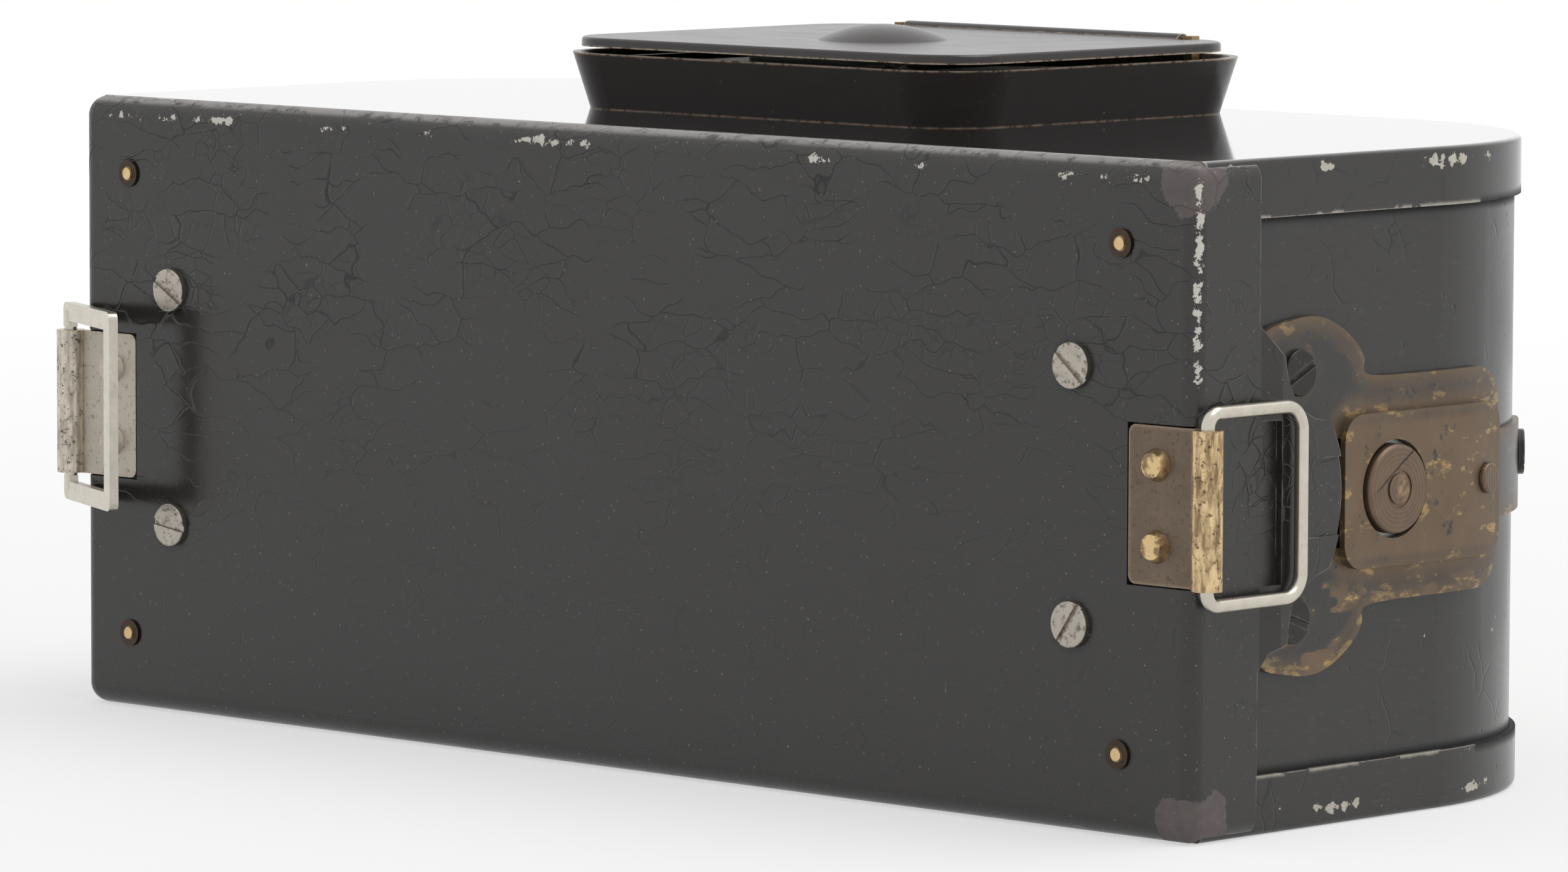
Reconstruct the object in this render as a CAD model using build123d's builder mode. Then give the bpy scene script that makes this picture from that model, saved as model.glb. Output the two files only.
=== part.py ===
from build123d import *
import os
from math import atan2, cos, degrees, pi, radians, sin

os.makedirs("parts", exist_ok=True)

# A wide reflex camera for stereo glass plates: two taking lenses and a reflex viewing lens
# between them.  X runs along the camera's width, +Y to the lenses, +Z up.  The origin is in
# the middle of the underside, at the mouth of the tripod bush.  All sizes are millimetres.

# ---------------------------------------------------------------- driving dimensions
width = 145.0  # over the rear cover's end flanges
height = 60.0
depth = 65.0  # rear cover's face to the covers' front lips
corner_radius = 30.0  # front corners of the covers, in plan

sheet = 0.8  # body, covers and rear panel
thin_sheet = 0.6  # flanges, lips and latch plates
slide_gap = 0.1  # between flat faces that slide past each other
run_gap = 0.3  # between faces that swing past each other
shaft_gap = 0.05  # radial, a shaft in its bore
lip_height = 5.3
edge_roll = 2.0  # rounded top and bottom edges of the rear cover
flange_depth = 8.7

screw_radius = 2.1
screw_head = 0.6
screw_shank = 1.0
slot_width = 0.6

lens_spacing = 62.0  # between the two taking lenses
lens_height = 30.0
window_size = 42.0  # side of one picture

plate_width = 107.0  # glass plate
plate_height = 45.0
plate_thickness = 1.3

hood_width = 51.0  # at the foot of the hood
hood_depth = 41.0
hood_flare = 1.7
hood_height = 5.4
hood_radius = 6.0
hood_wall = 0.8
hood_from_back = 20.0

shaft_radius = 1.5
pinion_teeth = 12
gear_module = 0.5

bail_wire = 1.25
knuckle_radius = 1.4
knuckle_out = 1.7  # pivot of a strap bail beyond the camera's end
lug_width = 7.6
lug_height = 14.1
lug_middle = 29.75

tripod_radius = 3.175
tripod_depth = 5.5

# ---------------------------------------------------------------- levels worked out from them
flange_out = width / 2
lip_out = flange_out - thin_sheet - slide_gap
wall_out = lip_out - thin_sheet
back = -depth / 2
front = depth / 2
wall_front = front - thin_sheet
wall_back = back + edge_roll + slide_gap
wall_in = wall_out - sheet
wall_radius = corner_radius - thin_sheet
flange_in = flange_out - thin_sheet
panel_in = back + sheet
tab_in = flange_out
tab_out = tab_in + 0.7


def behind(distance):
    """Y of a point this far in front of the camera's back face."""
    return back + distance


def block(x_range, y_range, z_range, mode=Mode.ADD):
    """A box between two limits along each axis."""
    ranges = (x_range, y_range, z_range)
    with Locations(tuple(sum(limits) / 2 for limits in ranges)):
        Box(*(limits[1] - limits[0] for limits in ranges), mode=mode)


def plan_outline(grow, rear, level):
    """Plan of the body at a distance from its walls, square behind and round in front."""
    with BuildSketch(Plane.XY.offset(level)) as plan:
        with Locations((0, (rear + wall_front + grow) / 2)):
            Rectangle(2 * (wall_out + grow), wall_front + grow - rear)
        fillet(plan.vertices().group_by(Axis.Y)[-1], wall_radius + grow)
    return plan.sketch


def wall_patch(profile, inner, outer):
    """Sheet round the right-hand wall, between two distances from it, cut to a side profile."""
    with BuildPart() as patch:
        extrude(plan_outline(outer, back, 0), amount=height)
        extrude(plan_outline(inner, back - 1, 0), amount=height, mode=Mode.SUBTRACT)
        extrude(profile, amount=width, mode=Mode.INTERSECT)
    return patch.part


def rounded_panel(plane, across, along, radius):
    """Rectangle with rounded corners, centred on a plane."""
    with BuildSketch(plane) as panel:
        RectangleRounded(across, along, radius)
    return panel.sketch


def wall_point(from_back, grow):
    """X and Y of a point at a distance outside the right-hand wall, and the wall's heading."""
    along = behind(from_back) - (wall_front - wall_radius)
    if along <= 0:
        return wall_out + grow, behind(from_back), 0.0
    turn = atan2(along, (wall_radius**2 - along**2) ** 0.5)
    reach = wall_radius + grow
    centre_x = wall_out - wall_radius
    centre_y = wall_front - wall_radius
    return centre_x + reach * cos(turn), centre_y + reach * sin(turn), degrees(turn)


def wall_plane(from_back, level, grow, turn=0.0):
    """Plane lying on the right-hand wall, facing outwards, turned about its normal."""
    x, y, heading = wall_point(from_back, grow)
    facing = Vector(cos(radians(heading)), sin(radians(heading)), 0)
    level_part = cos(radians(turn))
    across = Vector(-facing.Y * level_part, facing.X * level_part, sin(radians(turn)))
    return Plane(origin=(x, y, level), x_dir=across, z_dir=facing)


def slotted_screw(plane, head_radius, head, shank, shank_length):
    """Cheese-head screw standing on a plane, its shank going in behind it."""
    with BuildPart(plane) as screw:
        Cylinder(head_radius, head, align=(Align.CENTER, Align.CENTER, Align.MIN))
        fillet(screw.edges().group_by(Axis(plane.origin, plane.z_dir))[-1], head / 3)
        with Locations((0, 0, head)):
            Box(3 * head_radius, slot_width, head, mode=Mode.SUBTRACT)
        Cylinder(shank, shank_length, align=(Align.CENTER, Align.CENTER, Align.MAX))
    return screw.part


def dome_level(half, rise, at):
    """Height of a spherical cap above its edge, at a distance from its middle."""
    sphere = (half**2 + rise**2) / (2 * rise)
    return rise - sphere + (sphere**2 - at**2) ** 0.5


def on_left(part):
    """The same piece at the other end of the camera."""
    return mirror(part, about=Plane.YZ, mode=Mode.PRIVATE)


# ================================================================ body and covers
lens_x = lens_spacing / 2
front_opening_x = lens_x + 9.4
front_opening_z = 16.4
sleeve_gap = 0.4
rack_x = 25.0
rack_width = 3.0
pitch_radius = gear_module * pinion_teeth / 2
shaft_y = behind(33.0)
shaft_z = 12.5
pitch_line = shaft_z - pitch_radius
rack_low = pitch_line - 2.6
tooth_tip = 0.4
tooth_root = 0.6
guide_x = lens_x + 3.0
guide_z = 51.0
guide_radius = 1.5

latch_z = 29.7
latch_pin_back = 40.4  # the leaf spring's rivet, from the camera's back
button_back = 27.1
button_radius = 4.05
button_gap = 0.4
leaf_low = 0.2  # leaf's inner face outside the wall
leaf_thick = 0.4
leaf_half = 4.5
leaf_tip = 16.0
leaf_root = 42.1
channel_half = 6.95
channel_start = 20.2
channel_end = 43.2
channel_rise = 1.5
pocket_depth = 1.2
pocket_floor = 0.7

with BuildSketch(Plane.YZ) as pocket_profile:
    with Locations((behind((leaf_tip + leaf_root) / 2 - 0.5), latch_z)):
        RectangleRounded(leaf_root - leaf_tip + 1.4, 2 * leaf_half + 1.2, 1.0)
with BuildSketch(Plane.YZ) as pad_profile:
    with Locations((behind((leaf_tip + leaf_root) / 2 - 0.5), latch_z)):
        RectangleRounded(leaf_root - leaf_tip + 5.0, 2 * leaf_half + 4.5, 2.0)
pad = wall_patch(pad_profile.sketch, -pocket_depth - pocket_floor, -sheet)
pocket = wall_patch(pocket_profile.sketch, -pocket_depth, 1.0)

latch_screw_places = ((14.6, 40.8, 25.0), (14.0, 18.8, -20.0), (54.4, 30.6, 40.0))
latch_screw_planes = [
    wall_plane(from_back, level, thin_sheet, turn) for from_back, level, turn in latch_screw_places
]
pin_plane = wall_plane(latch_pin_back, latch_z, 0)
latch_pin_radius = 0.8


def drilling(plane, radius):
    """Drill that clears a screw or a rivet through the wall."""
    with BuildPart(plane) as drill:
        Cylinder(radius, 6 * sheet)
    return drill.part


right_drillings = [drilling(plane, screw_shank + shaft_gap) for plane in latch_screw_planes]
right_drillings.append(drilling(pin_plane, latch_pin_radius))

with BuildPart() as body_shell:
    extrude(plan_outline(0, wall_back, sheet), amount=height - 2 * sheet)
    extrude(plan_outline(-sheet, wall_back - 1, 0), amount=height, mode=Mode.SUBTRACT)
    add([pad, on_left(pad)])
    add([pocket, on_left(pocket)], mode=Mode.SUBTRACT)
    add(right_drillings, mode=Mode.SUBTRACT)
    add([on_left(drill) for drill in right_drillings], mode=Mode.SUBTRACT)
    wall_range = (wall_front - 2 * sheet, wall_front + 1)
    opening_half = front_opening_x + sleeve_gap
    opening_rise = front_opening_z + sleeve_gap
    block(
        (-opening_half, opening_half),
        wall_range,
        (lens_height - opening_rise, lens_height + opening_rise),
        Mode.SUBTRACT,
    )
    for side in (-1, 1):
        slot_half = rack_width / 2 + run_gap
        slot_x = (side * rack_x - slot_half, side * rack_x + slot_half)
        slot_z = (rack_low - run_gap, pitch_line - tooth_root + run_gap)
        block(slot_x, wall_range, slot_z, Mode.SUBTRACT)
        with BuildSketch(Plane.XZ.offset(-front)) as rod_hole:
            with Locations((side * guide_x, guide_z)):
                Circle(guide_radius + run_gap)
        extrude(rod_hole.sketch, amount=2 * sheet + 1, both=True, mode=Mode.SUBTRACT)
    with BuildSketch(Plane.YZ.offset(-wall_out)) as shaft_hole:
        with Locations((shaft_y, shaft_z)):
            Circle(shaft_radius + 0.7)
    extrude(shaft_hole.sketch, amount=2 * sheet, both=True, mode=Mode.SUBTRACT)
body_shell.part.label = "body_shell"

glass_width = 46.0
glass_depth = 38.0
glass_thick = 1.5
hood_y = behind(hood_from_back) + hood_depth / 2
view_width = glass_width - 3.0
view_depth = glass_depth - 3.0

with BuildPart() as top_cover:
    extrude(plan_outline(thin_sheet, wall_back, height - lip_height), amount=lip_height)
    inside = plan_outline(0, wall_back - 1, height - lip_height - 1)
    extrude(inside, amount=lip_height + 1 - sheet, mode=Mode.SUBTRACT)
    fillet(top_cover.edges().group_by(Axis.Z)[-1].filter_by(lambda e: e.center().Y > wall_back), 0.55)
    view_hole = rounded_panel(Plane((0, hood_y, height)), view_width, view_depth, 2.0)
    extrude(view_hole, amount=2 * sheet, both=True, mode=Mode.SUBTRACT)
top_cover.part.label = "top_cover"

bush_radius = 5.5
with BuildPart() as base_cover:
    extrude(plan_outline(thin_sheet, wall_back, 0), amount=lip_height)
    inside = plan_outline(0, wall_back - 1, sheet)
    extrude(inside, amount=lip_height, mode=Mode.SUBTRACT)
    fillet(base_cover.edges().group_by(Axis.Z)[0].filter_by(lambda e: e.center().Y > wall_back), 0.55)
    Cylinder(bush_radius, 4 * sheet, mode=Mode.SUBTRACT)
base_cover.part.label = "base_cover"

with BuildPart() as tripod_bush:
    with BuildSketch(Plane.XZ) as bush_half:
        with BuildLine():
            Polyline(
                (tripod_radius, 0),
                (bush_radius, 0),
                (bush_radius, sheet),
                (bush_radius + 2.0, sheet),
                (bush_radius + 2.0, 2 * sheet),
                (bush_radius, 2 * sheet),
                (bush_radius, tripod_depth + 1.0),
                (0, tripod_depth + 1.0),
                (0, tripod_depth),
                (tripod_radius, tripod_depth),
                close=True,
            )
        make_face()
    revolve(axis=Axis.Z)
tripod_bush.part.label = "tripod_bush"

# ================================================================ plate chamber and finder
gate_back = 11.6
gate_thick = 1.0
chamber_x = wall_in - slide_gap
chamber_z = (sheet + slide_gap, height - sheet - slide_gap)
sheath_gap = 0.3
sheath_wall = 2.4
sheath_thick = 3.0
sheath_half = plate_width / 2 + sheath_wall
sheath_rise = plate_height / 2 + sheath_wall
gate_rim = 1.0

with BuildPart() as film_gate:
    block((-chamber_x, chamber_x), (behind(gate_back), behind(gate_back + gate_thick)), chamber_z)
    rim_plane = Plane.XZ.offset(-behind(gate_back)).shift_origin((0, behind(gate_back), lens_height))
    rim_half = sheath_half + sheath_gap
    rim_rise = sheath_rise + sheath_gap
    with BuildSketch(rim_plane) as rim:
        Rectangle(2 * (rim_half + gate_rim), 2 * (rim_rise + gate_rim))
        Rectangle(2 * rim_half, 2 * rim_rise, mode=Mode.SUBTRACT)
    extrude(rim.sketch, amount=sheath_thick - 0.5)
    for side in (-1, 1):
        x = side * lens_x
        z = lens_height
        half = window_size / 2
        window_y = (behind(gate_back - 1), behind(gate_back + gate_thick + 1))
        block((x - half, x + half), window_y, (z - half, z + half), Mode.SUBTRACT)
film_gate.part.label = "film_gate"

plate_seat = plate_thickness + 0.2
with BuildPart() as plate_sheath:
    sheath_front = behind(gate_back - slide_gap)
    sheath_z = (lens_height - sheath_rise, lens_height + sheath_rise)
    block((-sheath_half, sheath_half), (sheath_front - sheath_thick, sheath_front), sheath_z)
    pocket_half = plate_width / 2 + 0.2
    pocket_rise = plate_height / 2 + 0.2
    pocket_z = (lens_height - pocket_rise, lens_height + pocket_rise)
    seat_range = (sheath_front - plate_seat, sheath_front + 1)
    block((-pocket_half, pocket_half), seat_range, pocket_z, Mode.SUBTRACT)
plate_sheath.part.label = "plate_sheath"

with BuildPart() as glass_plate:
    plate_front = sheath_front - slide_gap
    plate_z = (lens_height - plate_height / 2, lens_height + plate_height / 2)
    half = plate_width / 2
    block((-half, half), (plate_front - plate_thickness, plate_front), plate_z)
glass_plate.part.label = "glass_plate"

box_floor = 15.3
box_top = 56.5
box_back = gate_back + gate_thick + slide_gap
box_front = 57.5
box_narrow = 7.3
box_wide = 22.8
with BuildPart() as mirror_box:
    with BuildSketch(Plane.XY.offset(box_floor)) as wedge:
        with BuildLine():
            Polyline(
                (-box_narrow, behind(box_back)),
                (box_narrow, behind(box_back)),
                (box_wide, behind(box_front)),
                (-box_wide, behind(box_front)),
                close=True,
            )
        make_face()
    extrude(wedge.sketch, amount=box_top - box_floor)
    with BuildSketch(Plane.XY.offset(box_floor + sheet)) as wedge_inside:
        with BuildLine():
            Polyline(
                (-box_narrow + sheet, behind(box_back + sheet)),
                (box_narrow - sheet, behind(box_back + sheet)),
                (box_wide - sheet, behind(box_front + 1)),
                (-box_wide + sheet, behind(box_front + 1)),
                close=True,
            )
        make_face()
    extrude(wedge_inside.sketch, amount=height, mode=Mode.SUBTRACT)
mirror_box.part.label = "mirror_box"

# The mirror leans back at 45 degrees behind the viewing lens.
mirror_top_back = 27.0
mirror_top_z = 46.0
mirror_length = 38.9
mirror_thick = 1.2
mirror_narrow = 10.3
mirror_wide = 19.8
slope = Plane(
    origin=(0, behind(mirror_top_back), mirror_top_z), x_dir=(1, 0, 0), z_dir=(0, 1, 1)
)
with BuildPart() as mirror_glass:
    with BuildSketch(slope) as mirror_face:
        with BuildLine():
            Polyline(
                (-mirror_narrow, 0),
                (mirror_narrow, 0),
                (mirror_wide, mirror_length),
                (-mirror_wide, mirror_length),
                close=True,
            )
        make_face()
    extrude(mirror_face.sketch, amount=-mirror_thick)
mirror_glass.part.label = "mirror"

holder_lip = 0.2
with BuildPart() as mirror_holder:
    with BuildSketch(slope.offset(-mirror_thick)) as holder_face:
        with BuildLine():
            Polyline(
                (-mirror_narrow - holder_lip, 0),
                (mirror_narrow + holder_lip, 0),
                (mirror_wide + holder_lip, mirror_length),
                (-mirror_wide - holder_lip, mirror_length),
                close=True,
            )
        make_face()
    extrude(holder_face.sketch, amount=-sheet)
mirror_holder.part.label = "mirror_holder"

glass_low = height - sheet - slide_gap - glass_thick
with BuildPart() as ground_glass:
    extrude(rounded_panel(Plane((0, hood_y, glass_low)), glass_width, glass_depth, 1.0), amount=glass_thick)
ground_glass.part.label = "ground_glass"

retainer_wall = 2.0
ledge = 1.0
with BuildPart() as glass_retainer:
    low = Plane((0, hood_y, glass_low - slide_gap - ledge))
    outer = rounded_panel(low, glass_width + 2 * retainer_wall, glass_depth + 2 * retainer_wall, 1.5)
    extrude(outer, amount=ledge + slide_gap + glass_thick)
    inner = rounded_panel(low, view_width - 1, view_depth - 1, 1.0)
    extrude(inner, amount=ledge, mode=Mode.SUBTRACT)
    seat = rounded_panel(low.offset(ledge), glass_width + 0.4, glass_depth + 0.4, 1.2)
    extrude(seat, amount=glass_thick + 1, mode=Mode.SUBTRACT)
glass_retainer.part.label = "glass_retainer"

# ================================================================ folding hood
rim_width = hood_width + 2 * hood_flare
rim_depth = hood_depth + 2 * hood_flare
leaf_sheet = 0.6
pin_radius = 0.5
hinge_radius = 0.9
side_hinge_x = hood_width / 2 - 1.6
side_hinge_z = height + 3.9
rear_hinge_y = hood_y - hood_depth / 2 + 1.6
rear_hinge_z = height + 2.3
lid_hinge_y = hood_y + hood_depth / 2 - 0.6
lid_hinge_z = height + hood_height + 1.0
lid_length = 41.0
lid_half = hood_width / 2 + 0.6
lid_ear_x = 19.0
lid_thick = 0.9
side_leaf = 17.5
rear_leaf = 14.0
side_ear = 14.0  # ears of the side hinges, from the middle of the hood
side_knuckle_half = side_ear - 0.8
rear_x = 18.4

with BuildPart() as hood_frame:
    foot = rounded_panel(Plane((0, hood_y, height)), hood_width, hood_depth, hood_radius)
    rim_level = Plane((0, hood_y, height + hood_height))
    rim_shape = rounded_panel(rim_level, rim_width, rim_depth, hood_radius + hood_flare)
    loft([foot, rim_shape])
    inner_level = Plane((0, hood_y, height + hood_wall))
    lift = hood_flare * hood_wall / hood_height
    inner_foot = rounded_panel(
        inner_level,
        hood_width - 2 * (hood_wall - lift),
        hood_depth - 2 * (hood_wall - lift),
        hood_radius - hood_wall,
    )
    inner_rim = rounded_panel(
        rim_level.offset(0.01),
        rim_width - 2 * hood_wall,
        rim_depth - 2 * hood_wall,
        hood_radius + hood_flare - hood_wall,
    )
    loft([inner_foot, inner_rim], mode=Mode.SUBTRACT)
    extrude(
        rounded_panel(Plane((0, hood_y, height)), view_width, view_depth, 2.0),
        amount=hood_height,
        mode=Mode.SUBTRACT,
    )
hood_frame.part.label = "hood_frame"

with BuildPart() as hood_hinge_pins:
    lid_pin = Plane(origin=(0, lid_hinge_y, lid_hinge_z), z_dir=(1, 0, 0))
    rear_pin = Plane(origin=(0, rear_hinge_y, rear_hinge_z), z_dir=(1, 0, 0))
    for plane, length in ((lid_pin, 2 * lid_ear_x + 1), (rear_pin, 2 * rear_x + 4)):
        with BuildSketch(plane) as pin_circle:
            Circle(pin_radius)
        extrude(pin_circle.sketch, amount=length / 2, both=True)
    for side in (-1, 1):
        side_hinge = Plane(origin=(side * side_hinge_x, hood_y, side_hinge_z), z_dir=(0, 1, 0))
        with BuildSketch(side_hinge) as side_pin:
            Circle(pin_radius)
        extrude(side_pin.sketch, amount=side_ear + 0.5, both=True)
        # ears that carry the pins' ends on the frame
        rear_ear = (side * (rear_x + 1.6) - 0.5, side * (rear_x + 1.6) + 0.5)
        rear_span = (rear_hinge_y - 0.8, rear_hinge_y + 0.8)
        block(rear_ear, rear_span, (height + hood_wall, rear_hinge_z + 0.8))
        lid_ear = (side * lid_ear_x - 0.5, side * lid_ear_x + 0.5)
        lid_span = (lid_hinge_y - 0.4, lid_hinge_y + 0.7)
        block(lid_ear, lid_span, (height + 3.0, lid_hinge_z + 0.7))
        for end in (-1, 1):
            ear_y = hood_y + end * side_ear
            ear_x = (side * side_hinge_x - 0.8, side * side_hinge_x + 0.8)
            block(ear_x, (ear_y - 0.5, ear_y + 0.5), (height + hood_wall, side_hinge_z + 0.8))
hood_hinge_pins.part.label = "hood_hinge_pins"

# Each leaf lies flat at rest; the side leaves lie over the rear leaf, the lid over them all.
with BuildPart() as hood_front_leaf:
    lid_plane = Plane((0, lid_hinge_y - lid_length / 2, lid_hinge_z - lid_thick / 2))
    with BuildSketch(lid_plane) as lid_shape:
        RectangleRounded(2 * lid_half, lid_length, hood_radius)
        for side in (-1, 1):
            with Locations((side * lid_ear_x, lid_length / 2)):
                Rectangle(1.8, 4.0, mode=Mode.SUBTRACT)
    extrude(lid_shape.sketch, amount=lid_thick)
    fillet(hood_front_leaf.edges().group_by(Axis.Z)[-1], 0.35)
    bulge_half = 6.3
    bulge_rise = 1.5
    hollow_half = bulge_half - 1.0
    hollow_rise = bulge_rise + lid_thick - leaf_sheet
    bulge_y = lid_hinge_y - lid_length * 0.56
    lid_top = lid_hinge_z + lid_thick / 2
    with Locations((0, bulge_y, lid_hinge_z)):
        Cylinder(bulge_half, 2 * lid_thick, mode=Mode.SUBTRACT)
    with BuildSketch(Plane.XZ.offset(-bulge_y)) as bulge_section:
        with BuildLine():
            ThreePointArc(
                (0, lid_top + bulge_rise),
                (bulge_half / 2, lid_top + dome_level(bulge_half, bulge_rise, bulge_half / 2)),
                (bulge_half, lid_top),
            )
            Line((bulge_half, lid_top), (bulge_half, lid_top - lid_thick))
            Line((bulge_half, lid_top - lid_thick), (hollow_half, lid_top - lid_thick))
            ThreePointArc(
                (hollow_half, lid_top - lid_thick),
                (
                    hollow_half / 2,
                    lid_top - lid_thick + dome_level(hollow_half, hollow_rise, hollow_half / 2),
                ),
                (0, lid_top - lid_thick + hollow_rise),
            )
            Line((0, lid_top + bulge_rise - leaf_sheet), (0, lid_top + bulge_rise))
        make_face()
    revolve(bulge_section.sketch, axis=Axis((0, bulge_y, 0), (0, 0, 1)))
    with BuildSketch(lid_pin) as lid_knuckle:
        Circle(hinge_radius)
    extrude(lid_knuckle.sketch, amount=lid_ear_x - 1.0, both=True)
    with BuildSketch(lid_pin) as lid_bore:
        Circle(pin_radius + shaft_gap)
    extrude(lid_bore.sketch, amount=lid_half + 1, both=True, mode=Mode.SUBTRACT)
hood_front_leaf.part.label = "hood_front_leaf"

with BuildPart() as hood_rear_leaf:
    with BuildSketch(Plane.XY.offset(rear_hinge_z - leaf_sheet / 2)) as rear_shape:
        with BuildLine():
            Polyline(
                (-rear_x, rear_hinge_y + 0.2),
                (rear_x, rear_hinge_y + 0.2),
                (rear_x - 1.0, rear_hinge_y + 3.0),
                (rear_x - 11.0, rear_hinge_y + rear_leaf),
                (-rear_x + 11.0, rear_hinge_y + rear_leaf),
                (-rear_x + 1.0, rear_hinge_y + 3.0),
                close=True,
            )
        make_face()
    extrude(rear_shape.sketch, amount=leaf_sheet)
    with BuildSketch(rear_pin) as rear_knuckle:
        Circle(hinge_radius)
    extrude(rear_knuckle.sketch, amount=rear_x - 0.2, both=True)
    with BuildSketch(rear_pin) as rear_bore:
        Circle(pin_radius + shaft_gap)
    extrude(rear_bore.sketch, amount=rear_x + 1, both=True, mode=Mode.SUBTRACT)
hood_rear_leaf.part.label = "hood_rear_leaf"

with BuildPart() as hood_right_leaf:
    with BuildSketch(Plane.XY.offset(side_hinge_z - leaf_sheet / 2)) as side_shape:
        with BuildLine():
            Polyline(
                (side_hinge_x - 0.2, hood_y - side_knuckle_half),
                (side_hinge_x - 0.2, hood_y + side_knuckle_half),
                (side_hinge_x - 1.6, hood_y + side_knuckle_half),
                (side_hinge_x - 1.6, hood_y + 16.0),
                (side_hinge_x - 6.0, hood_y + 15.2),
                (side_hinge_x - 9.5, hood_y + 13.0),
                (side_hinge_x - 13.5, hood_y + 9.5),
                (side_hinge_x - side_leaf, hood_y + 6.0),
                (side_hinge_x - side_leaf, hood_y - 16.0),
                (side_hinge_x - 1.6, hood_y - 16.0),
                (side_hinge_x - 1.6, hood_y - side_knuckle_half),
                close=True,
            )
        make_face()
    extrude(side_shape.sketch, amount=leaf_sheet)
    right_pin = Plane(origin=(side_hinge_x, hood_y, side_hinge_z), z_dir=(0, 1, 0))
    with BuildSketch(right_pin) as side_knuckle:
        Circle(hinge_radius)
    extrude(side_knuckle.sketch, amount=side_knuckle_half, both=True)
    with BuildSketch(right_pin) as side_bore:
        Circle(pin_radius + shaft_gap)
    extrude(side_bore.sketch, amount=hood_depth, both=True, mode=Mode.SUBTRACT)
hood_right_leaf.part.label = "hood_right_leaf"

hood_left_leaf = on_left(hood_right_leaf.part)
hood_left_leaf.label = "hood_left_leaf"

magnifier_hinge_y = lid_hinge_y - 19.5
magnifier_reach = 15.5
magnifier_half = 7.5
magnifier_lens_radius = 5.6
magnifier_z = lid_hinge_z - lid_thick / 2 - 0.75
with BuildPart() as magnifier_frame:
    middle_y = magnifier_hinge_y - magnifier_reach / 2
    lens_y = magnifier_hinge_y - 8.4
    with BuildSketch(Plane.XY.offset(magnifier_z - 0.4)) as magnifier_shape:
        with Locations((0, middle_y)):
            RectangleRounded(2 * magnifier_half, magnifier_reach, 2.5)
        with Locations((0, lens_y)):
            Circle(magnifier_lens_radius + slide_gap, mode=Mode.SUBTRACT)
    extrude(magnifier_shape.sketch, amount=0.8)
magnifier_frame.part.label = "magnifier_frame"

lens_bulge = 0.5
lens_edge = magnifier_z + 0.2
lens_foot = magnifier_z - 0.3
lens_mid = dome_level(magnifier_lens_radius, lens_bulge, magnifier_lens_radius / 2)
with BuildPart() as magnifier_lens:
    with BuildSketch(Plane.XZ.offset(-lens_y)) as magnifier_half_lens:
        with BuildLine():
            Line((0, lens_foot), (magnifier_lens_radius, lens_foot))
            Line((magnifier_lens_radius, lens_foot), (magnifier_lens_radius, lens_edge))
            ThreePointArc(
                (magnifier_lens_radius, lens_edge),
                (magnifier_lens_radius / 2, lens_edge + lens_mid),
                (0, lens_edge + lens_bulge),
            )
            Line((0, lens_edge + lens_bulge), (0, lens_foot))
        make_face()
    revolve(magnifier_half_lens.sketch, axis=Axis((0, lens_y, 0), (0, 0, 1)))
magnifier_lens.part.label = "magnifier_lens"

# ================================================================ latches at both ends
tongue_half = 10.1
tongue_end = 44.7
tongue_bend = 4.4
ear_end = 58.4
ear_half = 4.0
foot_start = 9.2  # where the plate's foot begins, under the rear cover's tab
foot_half = 15.6
flare_end = 31.3
# distance from the camera's back and height above the plate's middle, along the flared foot
flare = (
    (foot_start, foot_half - 2.8),
    (foot_start + 3.4, foot_half),
    (foot_start + 9.6, foot_half),
    (foot_start + 14.5, tongue_half + 1.9),
    (flare_end, tongue_half),
)

with BuildSketch(Plane.YZ) as latch_shape:
    with BuildLine():
        for side in (-1, 1):
            edge = latch_z + side * tongue_half
            Spline(
                *[(behind(from_back), latch_z + side * rise) for from_back, rise in flare],
                tangents=((0, side), (1, 0)),
            )
            Line((behind(flare_end), edge), (behind(tongue_end - tongue_bend), edge))
            ThreePointArc(
                (behind(tongue_end - tongue_bend), edge),
                (behind(tongue_end - 0.3 * tongue_bend), edge - side * 0.3 * tongue_bend),
                (behind(tongue_end), edge - side * tongue_bend),
            )
        for from_back, half in ((foot_start, flare[0][1]), (tongue_end, tongue_half - tongue_bend)):
            Line((behind(from_back), latch_z - half), (behind(from_back), latch_z + half))
    make_face()
    with Locations((behind((tongue_end + ear_end) / 2 - 1.0), latch_z)):
        SlotOverall(ear_end - tongue_end + 6.0, 2 * ear_half)

channel_middle = behind((channel_start + channel_end) / 2)
with BuildSketch(Plane.YZ) as channel_shape:
    with Locations((channel_middle, latch_z)):
        RectangleRounded(channel_end - channel_start, 2 * channel_half, 2.4)
with BuildSketch(Plane.YZ) as hollow_shape:
    with Locations((channel_middle, latch_z)):
        RectangleRounded(
            channel_end - channel_start - 2 * thin_sheet, 2 * channel_half - 2 * thin_sheet, 1.8
        )
with BuildSketch(Plane.YZ) as nose_window:
    with Locations((behind(leaf_tip + 2.5), latch_z)):
        Rectangle(6.4, 2 * leaf_half + 0.8)
with BuildSketch(Plane.YZ) as leaf_shape:
    with Locations((behind((leaf_tip + leaf_root) / 2), latch_z)):
        RectangleRounded(leaf_root - leaf_tip, 2 * leaf_half, 1.0)
with BuildSketch(Plane.YZ) as nose_shape:
    with Locations((behind(leaf_tip + 1.2), latch_z)):
        Rectangle(2.0, 6.0)

latch_sheet_patch = wall_patch(latch_shape.sketch, 0, thin_sheet)
channel_patch = wall_patch(channel_shape.sketch, 0, channel_rise)
hollow_patch = wall_patch(hollow_shape.sketch, -0.1, channel_rise - thin_sheet)
window_patch = wall_patch(nose_window.sketch, -0.1, channel_rise - thin_sheet)
button_plane = wall_plane(button_back, latch_z, 0)

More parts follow.
